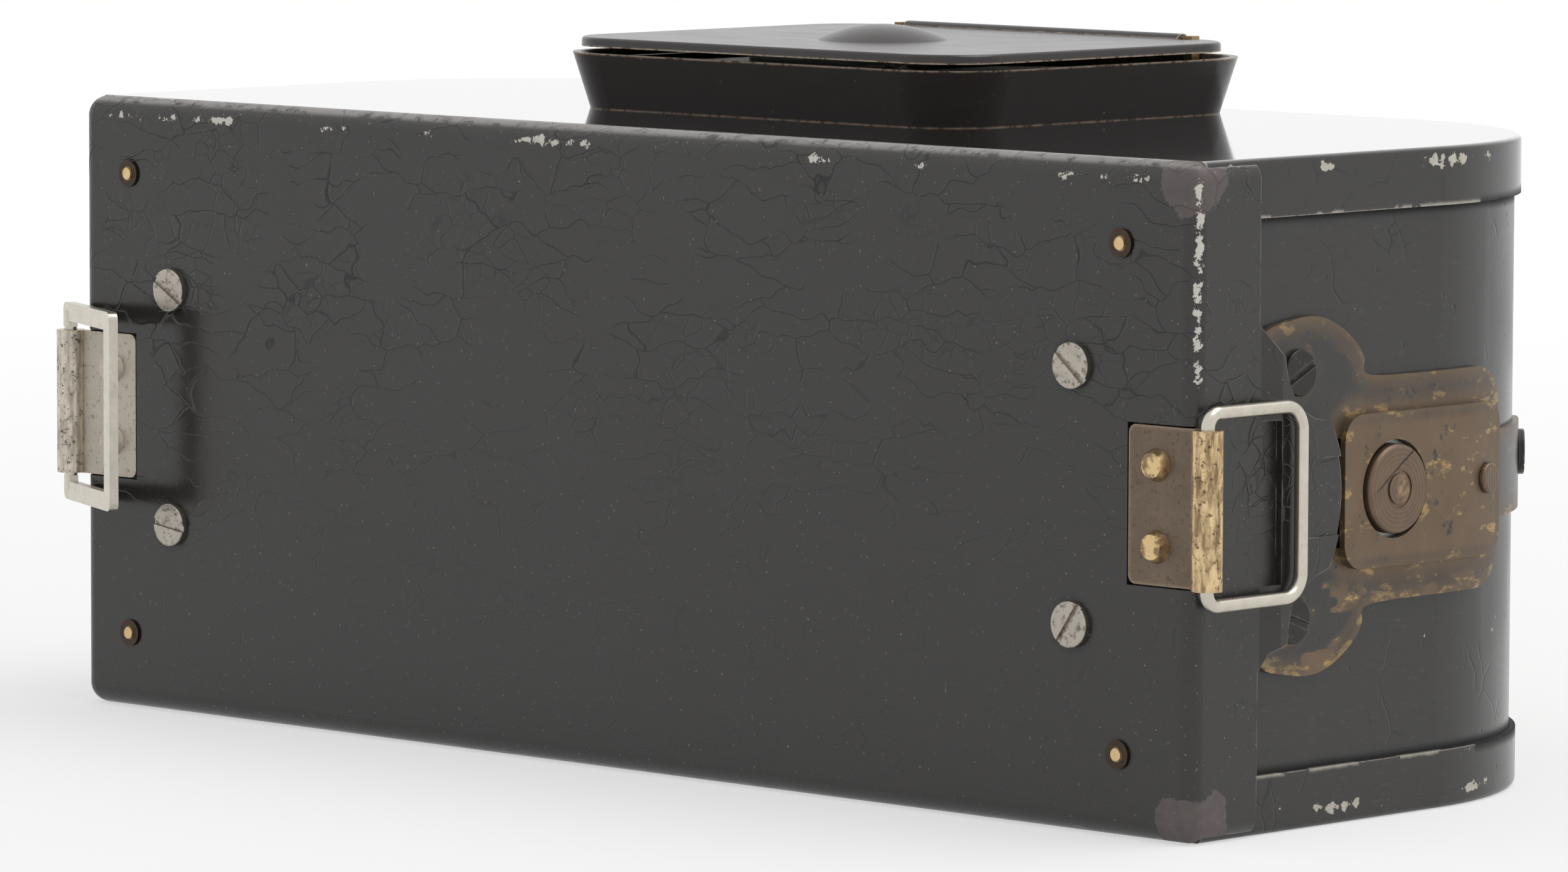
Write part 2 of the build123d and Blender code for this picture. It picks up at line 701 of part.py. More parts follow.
with BuildPart() as latch_plate_right:
    add([latch_sheet_patch, channel_patch])
    add([hollow_patch, window_patch], mode=Mode.SUBTRACT)
    with BuildSketch(button_plane) as button_hole:
        Circle(button_radius + button_gap)
    extrude(button_hole.sketch, amount=3 * channel_rise, mode=Mode.SUBTRACT)
    add(right_drillings, mode=Mode.SUBTRACT)
latch_plate_right.part.label = "latch_plate_right"

latch_plate_left = on_left(latch_plate_right.part)
latch_plate_left.label = "latch_plate_left"

with BuildPart() as latch_spring_right:
    add(wall_patch(leaf_shape.sketch, leaf_low, leaf_low + leaf_thick))
    add(wall_patch(nose_shape.sketch, leaf_low, leaf_low + leaf_thick + 0.5))
    with BuildSketch(pin_plane) as rivet_clearance:
        Circle(latch_pin_radius + run_gap)
    extrude(rivet_clearance.sketch, amount=2 * channel_rise, both=True, mode=Mode.SUBTRACT)
latch_spring_right.part.label = "latch_spring_right"

latch_spring_left = on_left(latch_spring_right.part)
latch_spring_left.label = "latch_spring_left"

button_base = leaf_low + leaf_thick
button_top = channel_rise + 0.55
with BuildPart() as latch_button_right:
    with BuildSketch(button_plane.offset(button_base)) as button_circle:
        Circle(button_radius)
    extrude(button_circle.sketch, amount=button_top - button_base)
    rim_edge = latch_button_right.edges().group_by(Axis.X)[-1]
    fillet(rim_edge, 0.45)
    with BuildSketch(button_plane.offset(button_top)) as dish:
        Circle(button_radius * 0.42)
        Circle(button_radius * 0.34, mode=Mode.SUBTRACT)
    extrude(dish.sketch, amount=-0.12, mode=Mode.SUBTRACT)
latch_button_right.part.label = "latch_button_right"

latch_button_left = on_left(latch_button_right.part)
latch_button_left.label = "latch_button_left"

pin_head = 1.4
with BuildPart() as right_latch_pin:
    with BuildSketch(pin_plane.offset(-pocket_depth - pocket_floor)) as pin_shank:
        Circle(latch_pin_radius - shaft_gap)
    extrude(pin_shank.sketch, amount=pocket_depth + pocket_floor + channel_rise + 0.3)
    with BuildSketch(pin_plane.offset(channel_rise + 0.05)) as pin_dome:
        Circle(pin_head)
    extrude(pin_dome.sketch, amount=0.5)
    fillet(right_latch_pin.edges().filter_by(GeomType.CIRCLE).sort_by(Axis.X)[-1], 0.3)

with BuildPart() as latch_pins:
    add([right_latch_pin.part, on_left(right_latch_pin.part)])
latch_pins.part.label = "latch_pins"

right_latch_screws = [
    slotted_screw(plane, screw_radius, 0.55, screw_shank, thin_sheet + sheet - 0.1)
    for plane in latch_screw_planes
]
with BuildPart() as latch_screws:
    add(right_latch_screws)
    add([on_left(screw) for screw in right_latch_screws])
latch_screws.part.label = "latch_screws"

# ================================================================ rear cover and its fittings
cover_screw_rise = 11.5
cover_screws_x = (width / 2 - 14.2, -width / 2 + 12.8)
cover_rivets_x = (width / 2 - 8.6, -width / 2 + 6.8)
cover_rivet_edge = 7.4
frame_thick = 2.2
frame_side = 15.0
frame_end = 6.0
frame_gap = 0.5
lug_gap = 0.15
lug_low = lug_middle - lug_height / 2
lug_high = lug_middle + lug_height / 2
lug_inner_x = width / 2 - lug_width
pivot_x = width / 2 + knuckle_out
pivot_y = back - 0.15
lug_rivet_x = width / 2 - 4.3
lug_rivet_rise = 3.6
tab_step = 11.5  # where the flange's tab steps up, from the camera's back
ramp_start = 8.9
step_z = (latch_z - 7.4, latch_z + 7.2)  # the step is sharp here and a ramp above and below
step_lap = 0.5
tab_press = 0.25  # depth of the flat pressed into the tab
press_y = (behind(13.6), behind(front - back))
press_z = (latch_z - 3.5, latch_z + 3.5)

# The flange runs on into a tab, which steps up to pass over the screws of the latch plate's foot.
with BuildSketch(Plane.YZ.offset(flange_in)) as tab_shape:
    with BuildLine():
        Polyline(
            (behind(6.4), 14.6),
            (behind(8.7), 14.6),
            (behind(9.8), 16.2),
            (behind(11.9), 17.0),
        )
        ThreePointArc((behind(11.9), 17.0), (behind(12.2), 19.2), (behind(12.8), 20.9))
        Polyline((behind(12.8), 20.9), (behind(15.7), 22.7), (behind(17.5), 23.3))
        ThreePointArc((behind(17.5), 23.3), (behind(19.4), 29.8), (behind(17.7), 36.4))
        Polyline((behind(17.7), 36.4), (behind(15.4), 36.8), (behind(13.8), 37.6))
        ThreePointArc((behind(13.8), 37.6), (behind(12.2), 39.6), (behind(11.4), 42.4))
        Polyline((behind(11.4), 42.4), (behind(8.7), 45.4), (behind(6.4), 45.4), (behind(6.4), 14.6))
    make_face()
with BuildPart(mode=Mode.PRIVATE) as right_tab:
    extrude(tab_shape.sketch, amount=tab_out - flange_in)
    block((flange_in - 1, tab_in), (behind(tab_step), front), (0, height), Mode.SUBTRACT)
    with BuildSketch() as ramp:
        with BuildLine():
            Polyline(
                (flange_out, back),
                (tab_out + 1, back),
                (tab_out + 1, behind(tab_step - step_lap)),
                (tab_out, behind(tab_step - step_lap)),
                (flange_out, behind(ramp_start)),
                close=True,
            )
        make_face()
    extrude(amount=height, mode=Mode.SUBTRACT)
    block((flange_out, tab_out + 1), (back, behind(tab_step - step_lap)), step_z, Mode.SUBTRACT)
    block((tab_out - tab_press, tab_out + 1), press_y, press_z, Mode.SUBTRACT)

with BuildPart() as rear_cover:
    block((-flange_out, flange_out), (back, back + flange_depth), (0, height))
    fillet(rear_cover.edges().filter_by(Axis.Z).group_by(Axis.Y)[0], 1.5)
    back_edges = rear_cover.faces().sort_by(Axis.Y)[0].edges().filter_by(Axis.X)
    fillet(back_edges, edge_roll - 0.1)
    with BuildPart(mode=Mode.PRIVATE) as cover_inside:
        block((-flange_in, flange_in), (panel_in, front), (sheet, height - sheet))
        inner_edges = cover_inside.faces().sort_by(Axis.Y)[0].edges().filter_by(Axis.X)
        fillet(inner_edges, edge_roll - sheet - 0.05)
    add(cover_inside.part, mode=Mode.SUBTRACT)
    block((-flange_in, flange_in), (back + edge_roll, front), (-1, height + 1), Mode.SUBTRACT)
    add([right_tab.part, on_left(right_tab.part)])
    for side in (-1, 1):
        cut_x = sorted((side * (lug_inner_x - lug_gap), side * (flange_out + 1)))
        block(cut_x, (back - 1, panel_in), (lug_low - lug_gap, lug_high + lug_gap), Mode.SUBTRACT)
    for x in cover_screws_x:
        for rise in (-cover_screw_rise, cover_screw_rise):
            with BuildSketch(Plane.XZ.offset(-back)) as hole:
                with Locations((x, lens_height + rise)):
                    Circle(screw_shank + shaft_gap)
            extrude(hole.sketch, amount=2, both=True, mode=Mode.SUBTRACT)
    for x in cover_rivets_x:
        for z in (cover_rivet_edge, height - cover_rivet_edge):
            with BuildSketch(Plane.XZ.offset(-back)) as hole:
                with Locations((x, z)):
                    Circle(0.6 + shaft_gap)
            extrude(hole.sketch, amount=2, both=True, mode=Mode.SUBTRACT)
rear_cover.part.label = "rear_cover"

frame_x = wall_in - frame_gap
with BuildPart() as light_trap_frame:
    frame_y = (panel_in, panel_in + frame_thick)
    block((-frame_x, frame_x), frame_y, (sheet + frame_gap, height - sheet - frame_gap))
    chamfer(light_trap_frame.faces().sort_by(Axis.Y)[0].edges().filter_by(Axis.X), 1.0)
    opening_x = frame_x - frame_side
    opening_z = (sheet + frame_gap + frame_end, height - sheet - frame_gap - frame_end)
    block((-opening_x, opening_x), (back, front), opening_z, Mode.SUBTRACT)
    for x in cover_screws_x:
        for rise in (-cover_screw_rise, cover_screw_rise):
            with BuildSketch(Plane.XZ.offset(-back)) as hole:
                with Locations((x, lens_height + rise)):
                    Circle(screw_shank + shaft_gap)
            extrude(hole.sketch, amount=6, both=True, mode=Mode.SUBTRACT)
    rivet_holes = [(x, z) for x in cover_rivets_x for z in (cover_rivet_edge, height - cover_rivet_edge)]
    for side in (-1, 1):
        rivet_holes += [(side * lug_rivet_x, lug_middle + rise) for rise in (-lug_rivet_rise, lug_rivet_rise)]
    for x, z in rivet_holes:
        with BuildSketch(Plane.XZ.offset(-back)) as hole:
            with Locations((x, z)):
                Circle(0.6 + shaft_gap)
        extrude(hole.sketch, amount=6, both=True, mode=Mode.SUBTRACT)
light_trap_frame.part.label = "light_trap_frame"

slot_turns = {(0, 1): -40, (0, -1): 55, (1, 1): -30, (1, -1): -8}
with BuildPart() as cover_screws:
    for column, x in enumerate(cover_screws_x):
        for row in (-1, 1):
            turn = radians(slot_turns[(column, row)])
            face = Plane(
                origin=(x, back, lens_height + row * cover_screw_rise),
                x_dir=(cos(turn), 0, sin(turn)),
                z_dir=(0, -1, 0),
            )
            add(slotted_screw(face, screw_radius, screw_head, screw_shank, sheet + frame_thick - 0.1))
cover_screws.part.label = "cover_screws"

with BuildPart() as cover_rivets:
    for x in cover_rivets_x:
        for z in (cover_rivet_edge, height - cover_rivet_edge):
            face = Plane(origin=(x, back, z), x_dir=(1, 0, 0), z_dir=(0, -1, 0))
            with BuildSketch(face) as rivet_flange:
                Circle(1.3)
            extrude(rivet_flange.sketch, amount=0.25)
            with BuildSketch(face) as rivet_core:
                Circle(0.6)
            extrude(rivet_core.sketch, amount=0.4)
            extrude(rivet_core.sketch, amount=-(sheet + frame_thick - 0.1))
cover_rivets.part.label = "cover_rivets"

pressure_front = gate_back - slide_gap - sheath_thick - slide_gap
pressure_half = 48.0
pressure_rise = 20.0
with BuildPart() as pressure_plate:
    plate_range = (behind(pressure_front - sheet), behind(pressure_front))
    plate_levels = (lens_height - pressure_rise, lens_height + pressure_rise)
    block((-pressure_half, pressure_half), plate_range, plate_levels)
    fillet(pressure_plate.edges().filter_by(Axis.Y), 4.0)
pressure_plate.part.label = "pressure_plate"

spring_sheet = 0.35
with BuildPart() as pressure_springs:
    spring_near = panel_in
    spring_far = behind(pressure_front - sheet) - spring_sheet
    for middle in (-26.0, 26.0):
        with BuildSketch(Plane.XY.offset(lens_height - 5.0)) as bow:
            with BuildLine():
                ThreePointArc(
                    (middle - 16, spring_far), (middle, spring_near), (middle + 16, spring_far)
                )
                Line((middle + 16, spring_far), (middle + 16, spring_far + spring_sheet))
                ThreePointArc(
                    (middle + 16, spring_far + spring_sheet),
                    (middle, spring_near + spring_sheet),
                    (middle - 16, spring_far + spring_sheet),
                )
                Line((middle - 16, spring_far + spring_sheet), (middle - 16, spring_far))
            make_face()
        extrude(bow.sketch, amount=10.0)
pressure_springs.part.label = "pressure_springs"

# ---------------------------------------------------------------- strap lugs and bails
bail_bore = bail_wire / 2 + shaft_gap
with BuildPart() as lug_plate_right:
    block((lug_inner_x, pivot_x), (back, panel_in), (lug_low, lug_high))
    fillet(lug_plate_right.edges().filter_by(Axis.Y).group_by(Axis.X)[0], 0.8)
    block((flange_out, pivot_x), (pivot_y, panel_in), (lug_low, lug_high))
    with BuildSketch(Plane.XY.offset(lug_low)) as knuckle:
        with Locations((pivot_x, pivot_y)):
            Circle(knuckle_radius)
    extrude(knuckle.sketch, amount=lug_height)
    with BuildSketch(Plane.XY.offset(lug_low)) as knuckle_bore:
        with Locations((pivot_x, pivot_y)):
            Circle(bail_bore)
    extrude(knuckle_bore.sketch, amount=lug_height, mode=Mode.SUBTRACT)
    for rise in (-lug_rivet_rise, lug_rivet_rise):
        with BuildSketch(Plane.XZ.offset(-back)) as hole:
            with Locations((lug_rivet_x, lug_middle + rise)):
                Circle(0.6 + shaft_gap)
        extrude(hole.sketch, amount=2, both=True, mode=Mode.SUBTRACT)
lug_plate_right.part.label = "lug_plate_right"

lug_plate_left = on_left(lug_plate_right.part)
lug_plate_left.label = "lug_plate_left"

with BuildPart() as lug_rivets:
    for side in (-1, 1):
        for rise in (-lug_rivet_rise, lug_rivet_rise):
            face = Plane(
                origin=(side * lug_rivet_x, back, lug_middle + rise), x_dir=(1, 0, 0), z_dir=(0, -1, 0)
            )
            with BuildSketch(face) as dome_foot:
                Circle(1.5)
            extrude(dome_foot.sketch, amount=0.85, taper=24)
            with BuildSketch(face) as rivet_shank:
                Circle(0.6)
            extrude(rivet_shank.sketch, amount=-(sheet + frame_thick - 0.1))
lug_rivets.part.label = "lug_rivets"

bail_height = 18.2
bail_reach = 12.6
knuckle_bend = 1.3
far_bend = 2.2
with BuildPart() as strap_bail_right:
    bail_rise = (bail_height - bail_wire) / 2
    corners = [
        (pivot_x, pivot_y, lug_middle - bail_rise),
        (pivot_x, pivot_y + bail_reach, lug_middle - bail_rise),
        (pivot_x, pivot_y + bail_reach, lug_middle + bail_rise),
        (pivot_x, pivot_y, lug_middle + bail_rise),
    ]
    with BuildLine() as loop:
        FilletPolyline(*corners, radius=(knuckle_bend, far_bend, far_bend, knuckle_bend), close=True)
    with BuildSketch(Plane(origin=(pivot_x, pivot_y, lug_middle), z_dir=(0, 0, -1))) as wire:
        Circle(bail_wire / 2)
    sweep(wire.sketch, path=loop.wires()[0])
strap_bail_right.part.label = "strap_bail_right"

flat_bail_height = 19.5
flat_bail_reach = 13.6
flat_bail_strip = 1.8
flat_bail_thick = 0.9
flat_bail_angle = 24.0
turn = radians(flat_bail_angle)
flat_bail_plane = Plane(
    origin=(-pivot_x, pivot_y, lug_middle),
    x_dir=(cos(turn), -sin(turn), 0),
    z_dir=(-sin(turn), -cos(turn), 0),
)
with BuildPart() as strap_bail_left:
    with BuildSketch(flat_bail_plane) as flat_loop:
        with Locations((flat_bail_reach / 2 - 0.5, 0)):
            RectangleRounded(flat_bail_reach + 1.0, flat_bail_height, 0.8)
            Rectangle(
                flat_bail_reach + 1.0 - 2 * flat_bail_strip,
                flat_bail_height - 2 * flat_bail_strip,
                mode=Mode.SUBTRACT,
            )
        with Locations((0, 0)):
            Rectangle(4.0, lug_height + 2 * run_gap, mode=Mode.SUBTRACT)
    extrude(flat_loop.sketch, amount=flat_bail_thick / 2, both=True)
    with Locations((-pivot_x, pivot_y, lug_middle)):
        Cylinder(bail_wire / 2, flat_bail_height - flat_bail_strip)
strap_bail_left.part.label = "strap_bail_left"

# ================================================================ lens board and shutter
board_back = depth + 1.0
board_thick = 2.5
board_half = 41.5
board_z = (6.0, 54.6)
housing_front = 74.0
barrel_radius = 10.0
barrel_neck = 7.0
barrel_bore = 5.6
barrel_front = 78.4
finder_radius = 8.0

with BuildPart() as lens_board:
    board_y = (behind(board_back), behind(board_back + board_thick))
    block((-board_half, board_half), board_y, board_z)
    fillet(lens_board.edges().filter_by(Axis.Y), 3.0)
    fillet(lens_board.faces().sort_by(Axis.Y)[-1].edges(), 0.5)
    for x in (-lens_x, 0, lens_x):
        with BuildSketch(Plane.XZ.offset(-behind(board_back))) as hole:
            with Locations((x, lens_height)):
                Circle(barrel_neck + slide_gap)
        extrude(hole.sketch, amount=2 * board_thick, both=True, mode=Mode.SUBTRACT)
lens_board.part.label = "lens_board"

sleeve_back = 58.0
sleeve_wall = 0.7
with BuildPart() as lens_sleeve:
    sleeve_y = (behind(sleeve_back), behind(board_back))
    sleeve_z = (lens_height - front_opening_z, lens_height + front_opening_z)
    block((-front_opening_x, front_opening_x), sleeve_y, sleeve_z)
    divider_x = 22.0
    bays = (
        (-front_opening_x + sleeve_wall, -divider_x),
        (-divider_x + sleeve_wall, divider_x - sleeve_wall),
        (divider_x, front_opening_x - sleeve_wall),
    )
    for bay in bays:
        bay_z = (sleeve_z[0] + sleeve_wall, sleeve_z[1] - sleeve_wall)
        block(bay, (behind(sleeve_back - 1), behind(board_back + 1)), bay_z, Mode.SUBTRACT)
lens_sleeve.part.label = "lens_sleeve"

rack_back = 24.5
tooth_pitch = pi * gear_module
tooth_half = 0.3
with BuildPart() as focus_racks:
    for side in (-1, 1):
        x = side * rack_x
        with BuildSketch(Plane.YZ.offset(x)) as rack_side:
            rack_middle = (behind(rack_back) + behind(board_back)) / 2
            with Locations((rack_middle, (rack_low + pitch_line - tooth_root) / 2)):
                Rectangle(board_back - rack_back, pitch_line - tooth_root - rack_low)
            for tooth in range(-4, 4):
                tooth_y = shaft_y + (tooth + 0.5) * tooth_pitch
                with BuildLine():
                    Polyline(
                        (tooth_y - tooth_half - 0.2, pitch_line - tooth_root),
                        (tooth_y - tooth_half + 0.12, pitch_line + tooth_tip),
                        (tooth_y + tooth_half - 0.12, pitch_line + tooth_tip),
                        (tooth_y + tooth_half + 0.2, pitch_line - tooth_root),
                        close=True,
                    )
                make_face()
        extrude(rack_side.sketch, amount=rack_width / 2, both=True)
focus_racks.part.label = "focus_racks"

rod_back = 48.0
with BuildPart() as guide_rods:
    for side in (-1, 1):
        with BuildSketch(Plane.XZ.offset(-behind(board_back))) as rod:
            with Locations((side * guide_x, guide_z)):
                Circle(guide_radius)
        extrude(rod.sketch, amount=board_back - rod_back)
guide_rods.part.label = "guide_rods"

bush_back = 54.0
bush_length = depth - thin_sheet - sheet - bush_back
with BuildPart() as guide_bushes:
    for side in (-1, 1):
        with BuildSketch(Plane.XZ.offset(-behind(bush_back))) as bush:
            with Locations((side * guide_x, guide_z)):
                Circle(2 * guide_radius)
                Circle(guide_radius + shaft_gap, mode=Mode.SUBTRACT)
        extrude(bush.sketch, amount=-bush_length)
guide_bushes.part.label = "guide_bushes"

housing_back = board_back + board_thick
with BuildPart() as shutter_housing:
    housing_plane = Plane.XZ.offset(-behind(housing_back))
    with BuildSketch(housing_plane) as housing_shape:
        with Locations((0, lens_height)):
            RectangleRounded(2 * board_half - 1.5, 33.0, 7.0)
    extrude(housing_shape.sketch, amount=-(housing_front - housing_back))
    fillet(shutter_housing.faces().sort_by(Axis.Y)[-1].edges(), 1.0)
    for x in (-lens_x, 0, lens_x):
        with BuildSketch(housing_plane) as hole:
            with Locations((x, lens_height)):
                Circle(barrel_neck + slide_gap)
        extrude(hole.sketch, amount=20, both=True, mode=Mode.SUBTRACT)
shutter_housing.part.label = "shutter_housing"


def lens_barrel(x, radius, length):
    """Turned barrel: neck through the board, knurled front ring, stepped bore."""
    with BuildSketch(Plane.XY.offset(lens_height)) as section:
        neck_y = behind(board_back + slide_gap)
        seat_y = behind(housing_front)
        front_y = seat_y + length
        with BuildLine():
            Polyline(
                (x + barrel_bore, neck_y),
                (x + barrel_neck, neck_y),
                (x + barrel_neck, seat_y),
                (x + radius, seat_y),
                (x + radius, front_y - 0.5),
                (x + radius - 0.5, front_y),
                (x + barrel_bore + 0.9, front_y),
                (x + barrel_bore, front_y - 1.0),
                close=True,
            )
        make_face()
    with BuildPart() as barrel:
        revolve(section.sketch, axis=Axis((x, 0, lens_height), (0, 1, 0)))
        notches = 36
        for notch in range(notches):
            angle = 2 * pi * notch / notches
            with Locations((x + radius * cos(angle), seat_y + 1.5, lens_height + radius * sin(angle))):
                Cylinder(0.22, 2.0, rotation=(90, 0, 0), mode=Mode.SUBTRACT)
    return barrel.part


def lens_glass(x, front_y):
    """Lens glass, domed in front and flat behind."""
    with BuildSketch(Plane.XY.offset(lens_height)) as section:
        with BuildLine():
            Line((x, front_y - 3.0), (x + barrel_bore, front_y - 3.0))
            Line((x + barrel_bore, front_y - 3.0), (x + barrel_bore, front_y - 1.2))
            ThreePointArc(
                (x + barrel_bore, front_y - 1.2),
                (x + barrel_bore / 2, front_y - 1.2 + dome_level(barrel_bore, 1.0, barrel_bore / 2)),
                (x, front_y - 0.2),
            )
            Line((x, front_y - 0.2), (x, front_y - 3.0))
        make_face()
    return revolve(section.sketch, axis=Axis((x, 0, lens_height), (0, 1, 0)), mode=Mode.PRIVATE)


taking_length = barrel_front - housing_front
taking_lens_barrel_right = lens_barrel(lens_x, barrel_radius, taking_length)
taking_lens_barrel_right.label = "taking_lens_barrel_right"
taking_lens_barrel_left = lens_barrel(-lens_x, barrel_radius, taking_length)
taking_lens_barrel_left.label = "taking_lens_barrel_left"
viewing_lens_barrel = lens_barrel(0, finder_radius, taking_length - 0.8)
viewing_lens_barrel.label = "viewing_lens_barrel"

with BuildPart() as taking_lens_glass:
    add([lens_glass(x, behind(barrel_front)) for x in (-lens_x, lens_x)])
taking_lens_glass.part.label = "taking_lens_glass"

viewing_lens_glass = lens_glass(0, behind(barrel_front - 0.8))
viewing_lens_glass.label = "viewing_lens_glass"

# ---------------------------------------------------------------- shutter controls
control_x = lens_x / 2
control_base = housing_front + 0.1
stud_radius = 1.0
control_bore = stud_radius + shaft_gap
dial_place = (control_x, 40.5)
lever_places = {
    "aperture_lever": (-control_x, 40.0, 1),
    "cocking_lever": (control_x, 20.0, -1),
    "release_lever": (-control_x, 20.0, -1),
}

dial_radius = 4.2
dial_notches = 20
with BuildPart() as speed_dial:
    dial_plane = Plane.XZ.offset(-behind(control_base))
    with BuildSketch(dial_plane) as dial_face:
        with Locations(dial_place):
            Circle(dial_radius)
            Circle(control_bore, mode=Mode.SUBTRACT)
    extrude(dial_face.sketch, amount=-1.6)
    for notch in range(dial_notches):
        angle = 2 * pi * notch / dial_notches
        notch_x = dial_place[0] + dial_radius * cos(angle)
        notch_z = dial_place[1] + dial_radius * sin(angle)
        with Locations((notch_x, behind(control_base), notch_z)):
            Cylinder(0.3, 6.0, rotation=(90, 0, 0), mode=Mode.SUBTRACT)
speed_dial.part.label = "speed_dial"


def control_lever(x, z, heading):
    """Small flat lever with a round boss, pointing up or down."""
    with BuildPart() as lever:
        with BuildSketch(Plane.XZ.offset(-behind(control_base))) as arm:
            with Locations((x, z)):
                Circle(2.2)
            with Locations((x, z + heading * 3.8)):
                Rectangle(2.0, 7.6)
            with Locations((x, z + heading * 7.4)):
                Circle(1.5)
            with Locations((x, z)):
                Circle(control_bore, mode=Mode.SUBTRACT)
        extrude(arm.sketch, amount=-1.0)
        with BuildSketch(Plane.XZ.offset(-behind(control_base + 1.0))) as finger_tip:
            with Locations((x, z + heading * 7.4)):
                Circle(1.1)
        extrude(finger_tip.sketch, amount=-1.4)
    return lever.part


aperture_lever = control_lever(*lever_places["aperture_lever"])
aperture_lever.label = "aperture_lever"
cocking_lever = control_lever(*lever_places["cocking_lever"])
cocking_lever.label = "cocking_lever"
release_lever = control_lever(*lever_places["release_lever"])
release_lever.label = "release_lever"

with BuildPart() as pivot_screws:
    stud_places = [dial_place + (1.7,)]
    stud_places += [(x, z, 1.1) for x, z, heading in lever_places.values()]
    for x, z, reach in stud_places:
        face = Plane(origin=(x, behind(control_base + reach), z), x_dir=(-1, 0, 0), z_dir=(0, 1, 0))
        add(slotted_screw(face, 1.7, 0.6, stud_radius, reach + 0.1))
pivot_screws.part.label = "pivot_screws"

# ---------------------------------------------------------------- focusing drive
knob_inner = lip_out + 1.2
knob_length = 8.0
knob_radius = 7.0
right_bearing_x = rack_x + rack_width / 2 + 3.5

with BuildPart() as focus_shaft:
    with BuildSketch(Plane.YZ.offset(-knob_inner - knob_length + 1.5)) as shaft_circle:
        with Locations((shaft_y, shaft_z)):
            Circle(shaft_radius)
    extrude(shaft_circle.sketch, amount=knob_inner + knob_length - 1.5 + right_bearing_x + 4.0)
focus_shaft.part.label = "focus_shaft"

with BuildPart() as focus_pinions:
    for side in (-1, 1):
        with BuildSketch(Plane.YZ.offset(side * rack_x)) as pinion:
            with Locations((shaft_y, shaft_z)):
                Circle(pitch_radius - tooth_root + 0.1)
            for tooth in range(pinion_teeth):
                turn_angle = 360 * tooth / pinion_teeth
                with Locations(Location((shaft_y, shaft_z, 0), (0, 0, turn_angle))):
                    with Locations((pitch_radius - 0.15, 0)):
                        Rectangle(2 * tooth_tip + 0.3, 2 * tooth_half)
            with Locations((shaft_y, shaft_z)):
                Circle(shaft_radius, mode=Mode.SUBTRACT)
        extrude(pinion.sketch, amount=rack_width / 2, both=True)
focus_pinions.part.label = "focus_pinions"

with BuildPart() as focus_knob:
    with BuildSketch(Plane.YZ.offset(-knob_inner)) as knob_face:
        with Locations((shaft_y, shaft_z)):
            Circle(knob_radius)
    extrude(knob_face.sketch, amount=-knob_length)
    fillet(focus_knob.edges().group_by(Axis.X)[0], 1.2)
    flutes = 28
    for flute in range(flutes):
        angle = 2 * pi * flute / flutes
        place = (
            -knob_inner - knob_length / 2,
            shaft_y + knob_radius * cos(angle),
            shaft_z + knob_radius * sin(angle),
        )
        with Locations(place):
            Cylinder(0.35, knob_length - 2.0, rotation=(0, 90, 0), mode=Mode.SUBTRACT)
    with BuildSketch(Plane.YZ.offset(-knob_inner)) as knob_bore:
        with Locations((shaft_y, shaft_z)):
            Circle(shaft_radius)
    extrude(knob_bore.sketch, amount=-(knob_length - 1.5), mode=Mode.SUBTRACT)
focus_knob.part.label = "focus_knob"

with BuildPart() as shaft_bearings:
    with BuildSketch(Plane.YZ.offset(-wall_in + slide_gap)) as left_bearing:
        with Locations((shaft_y, shaft_z)):
            Circle(3.2)
            Circle(shaft_radius + shaft_gap, mode=Mode.SUBTRACT)
    extrude(left_bearing.sketch, amount=4.0)
    with BuildSketch(Plane.YZ.offset(right_bearing_x)) as right_bearing:
        with Locations((shaft_y, (sheet + shaft_z) / 2)):
            Rectangle(6.4, shaft_z - sheet)
        with Locations((shaft_y, shaft_z)):
            Circle(3.2)
            Circle(shaft_radius + shaft_gap, mode=Mode.SUBTRACT)
    extrude(right_bearing.sketch, amount=3.0)
shaft_bearings.part.label = "shaft_bearings"

# ================================================================ files
pieces = [
    body_shell.part,
    top_cover.part,
    base_cover.part,
    tripod_bush.part,
    film_gate.part,
    plate_sheath.part,
    glass_plate.part,
    mirror_box.part,
    mirror_glass.part,
    mirror_holder.part,
    ground_glass.part,
    glass_retainer.part,
    hood_frame.part,
    hood_hinge_pins.part,
    hood_front_leaf.part,
    hood_rear_leaf.part,
    hood_right_leaf.part,
    hood_left_leaf,
    magnifier_frame.part,
    magnifier_lens.part,
    latch_plate_right.part,
    latch_plate_left,
    latch_spring_right.part,
    latch_spring_left,
    latch_button_right.part,
    latch_button_left,
    latch_pins.part,
    latch_screws.part,
    rear_cover.part,
    light_trap_frame.part,
    cover_screws.part,
    cover_rivets.part,
    pressure_plate.part,
    pressure_springs.part,
    lug_plate_right.part,
    lug_plate_left,
    lug_rivets.part,
    strap_bail_right.part,
    strap_bail_left.part,
    lens_board.part,
    lens_sleeve.part,
    focus_racks.part,
    guide_rods.part,
    guide_bushes.part,
    shutter_housing.part,
    taking_lens_barrel_right,
    taking_lens_barrel_left,
    viewing_lens_barrel,
    taking_lens_glass.part,
    viewing_lens_glass,
    speed_dial.part,
    aperture_lever,
    cocking_lever,
    release_lever,
    pivot_screws.part,
    focus_knob.part,
    focus_shaft.part,
    focus_pinions.part,
    shaft_bearings.part,
]
for piece in pieces:
    export_step(piece, f"parts/{piece.label}.step")
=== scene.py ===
from math import pi, radians

import bpy
from mathutils import Matrix, Vector


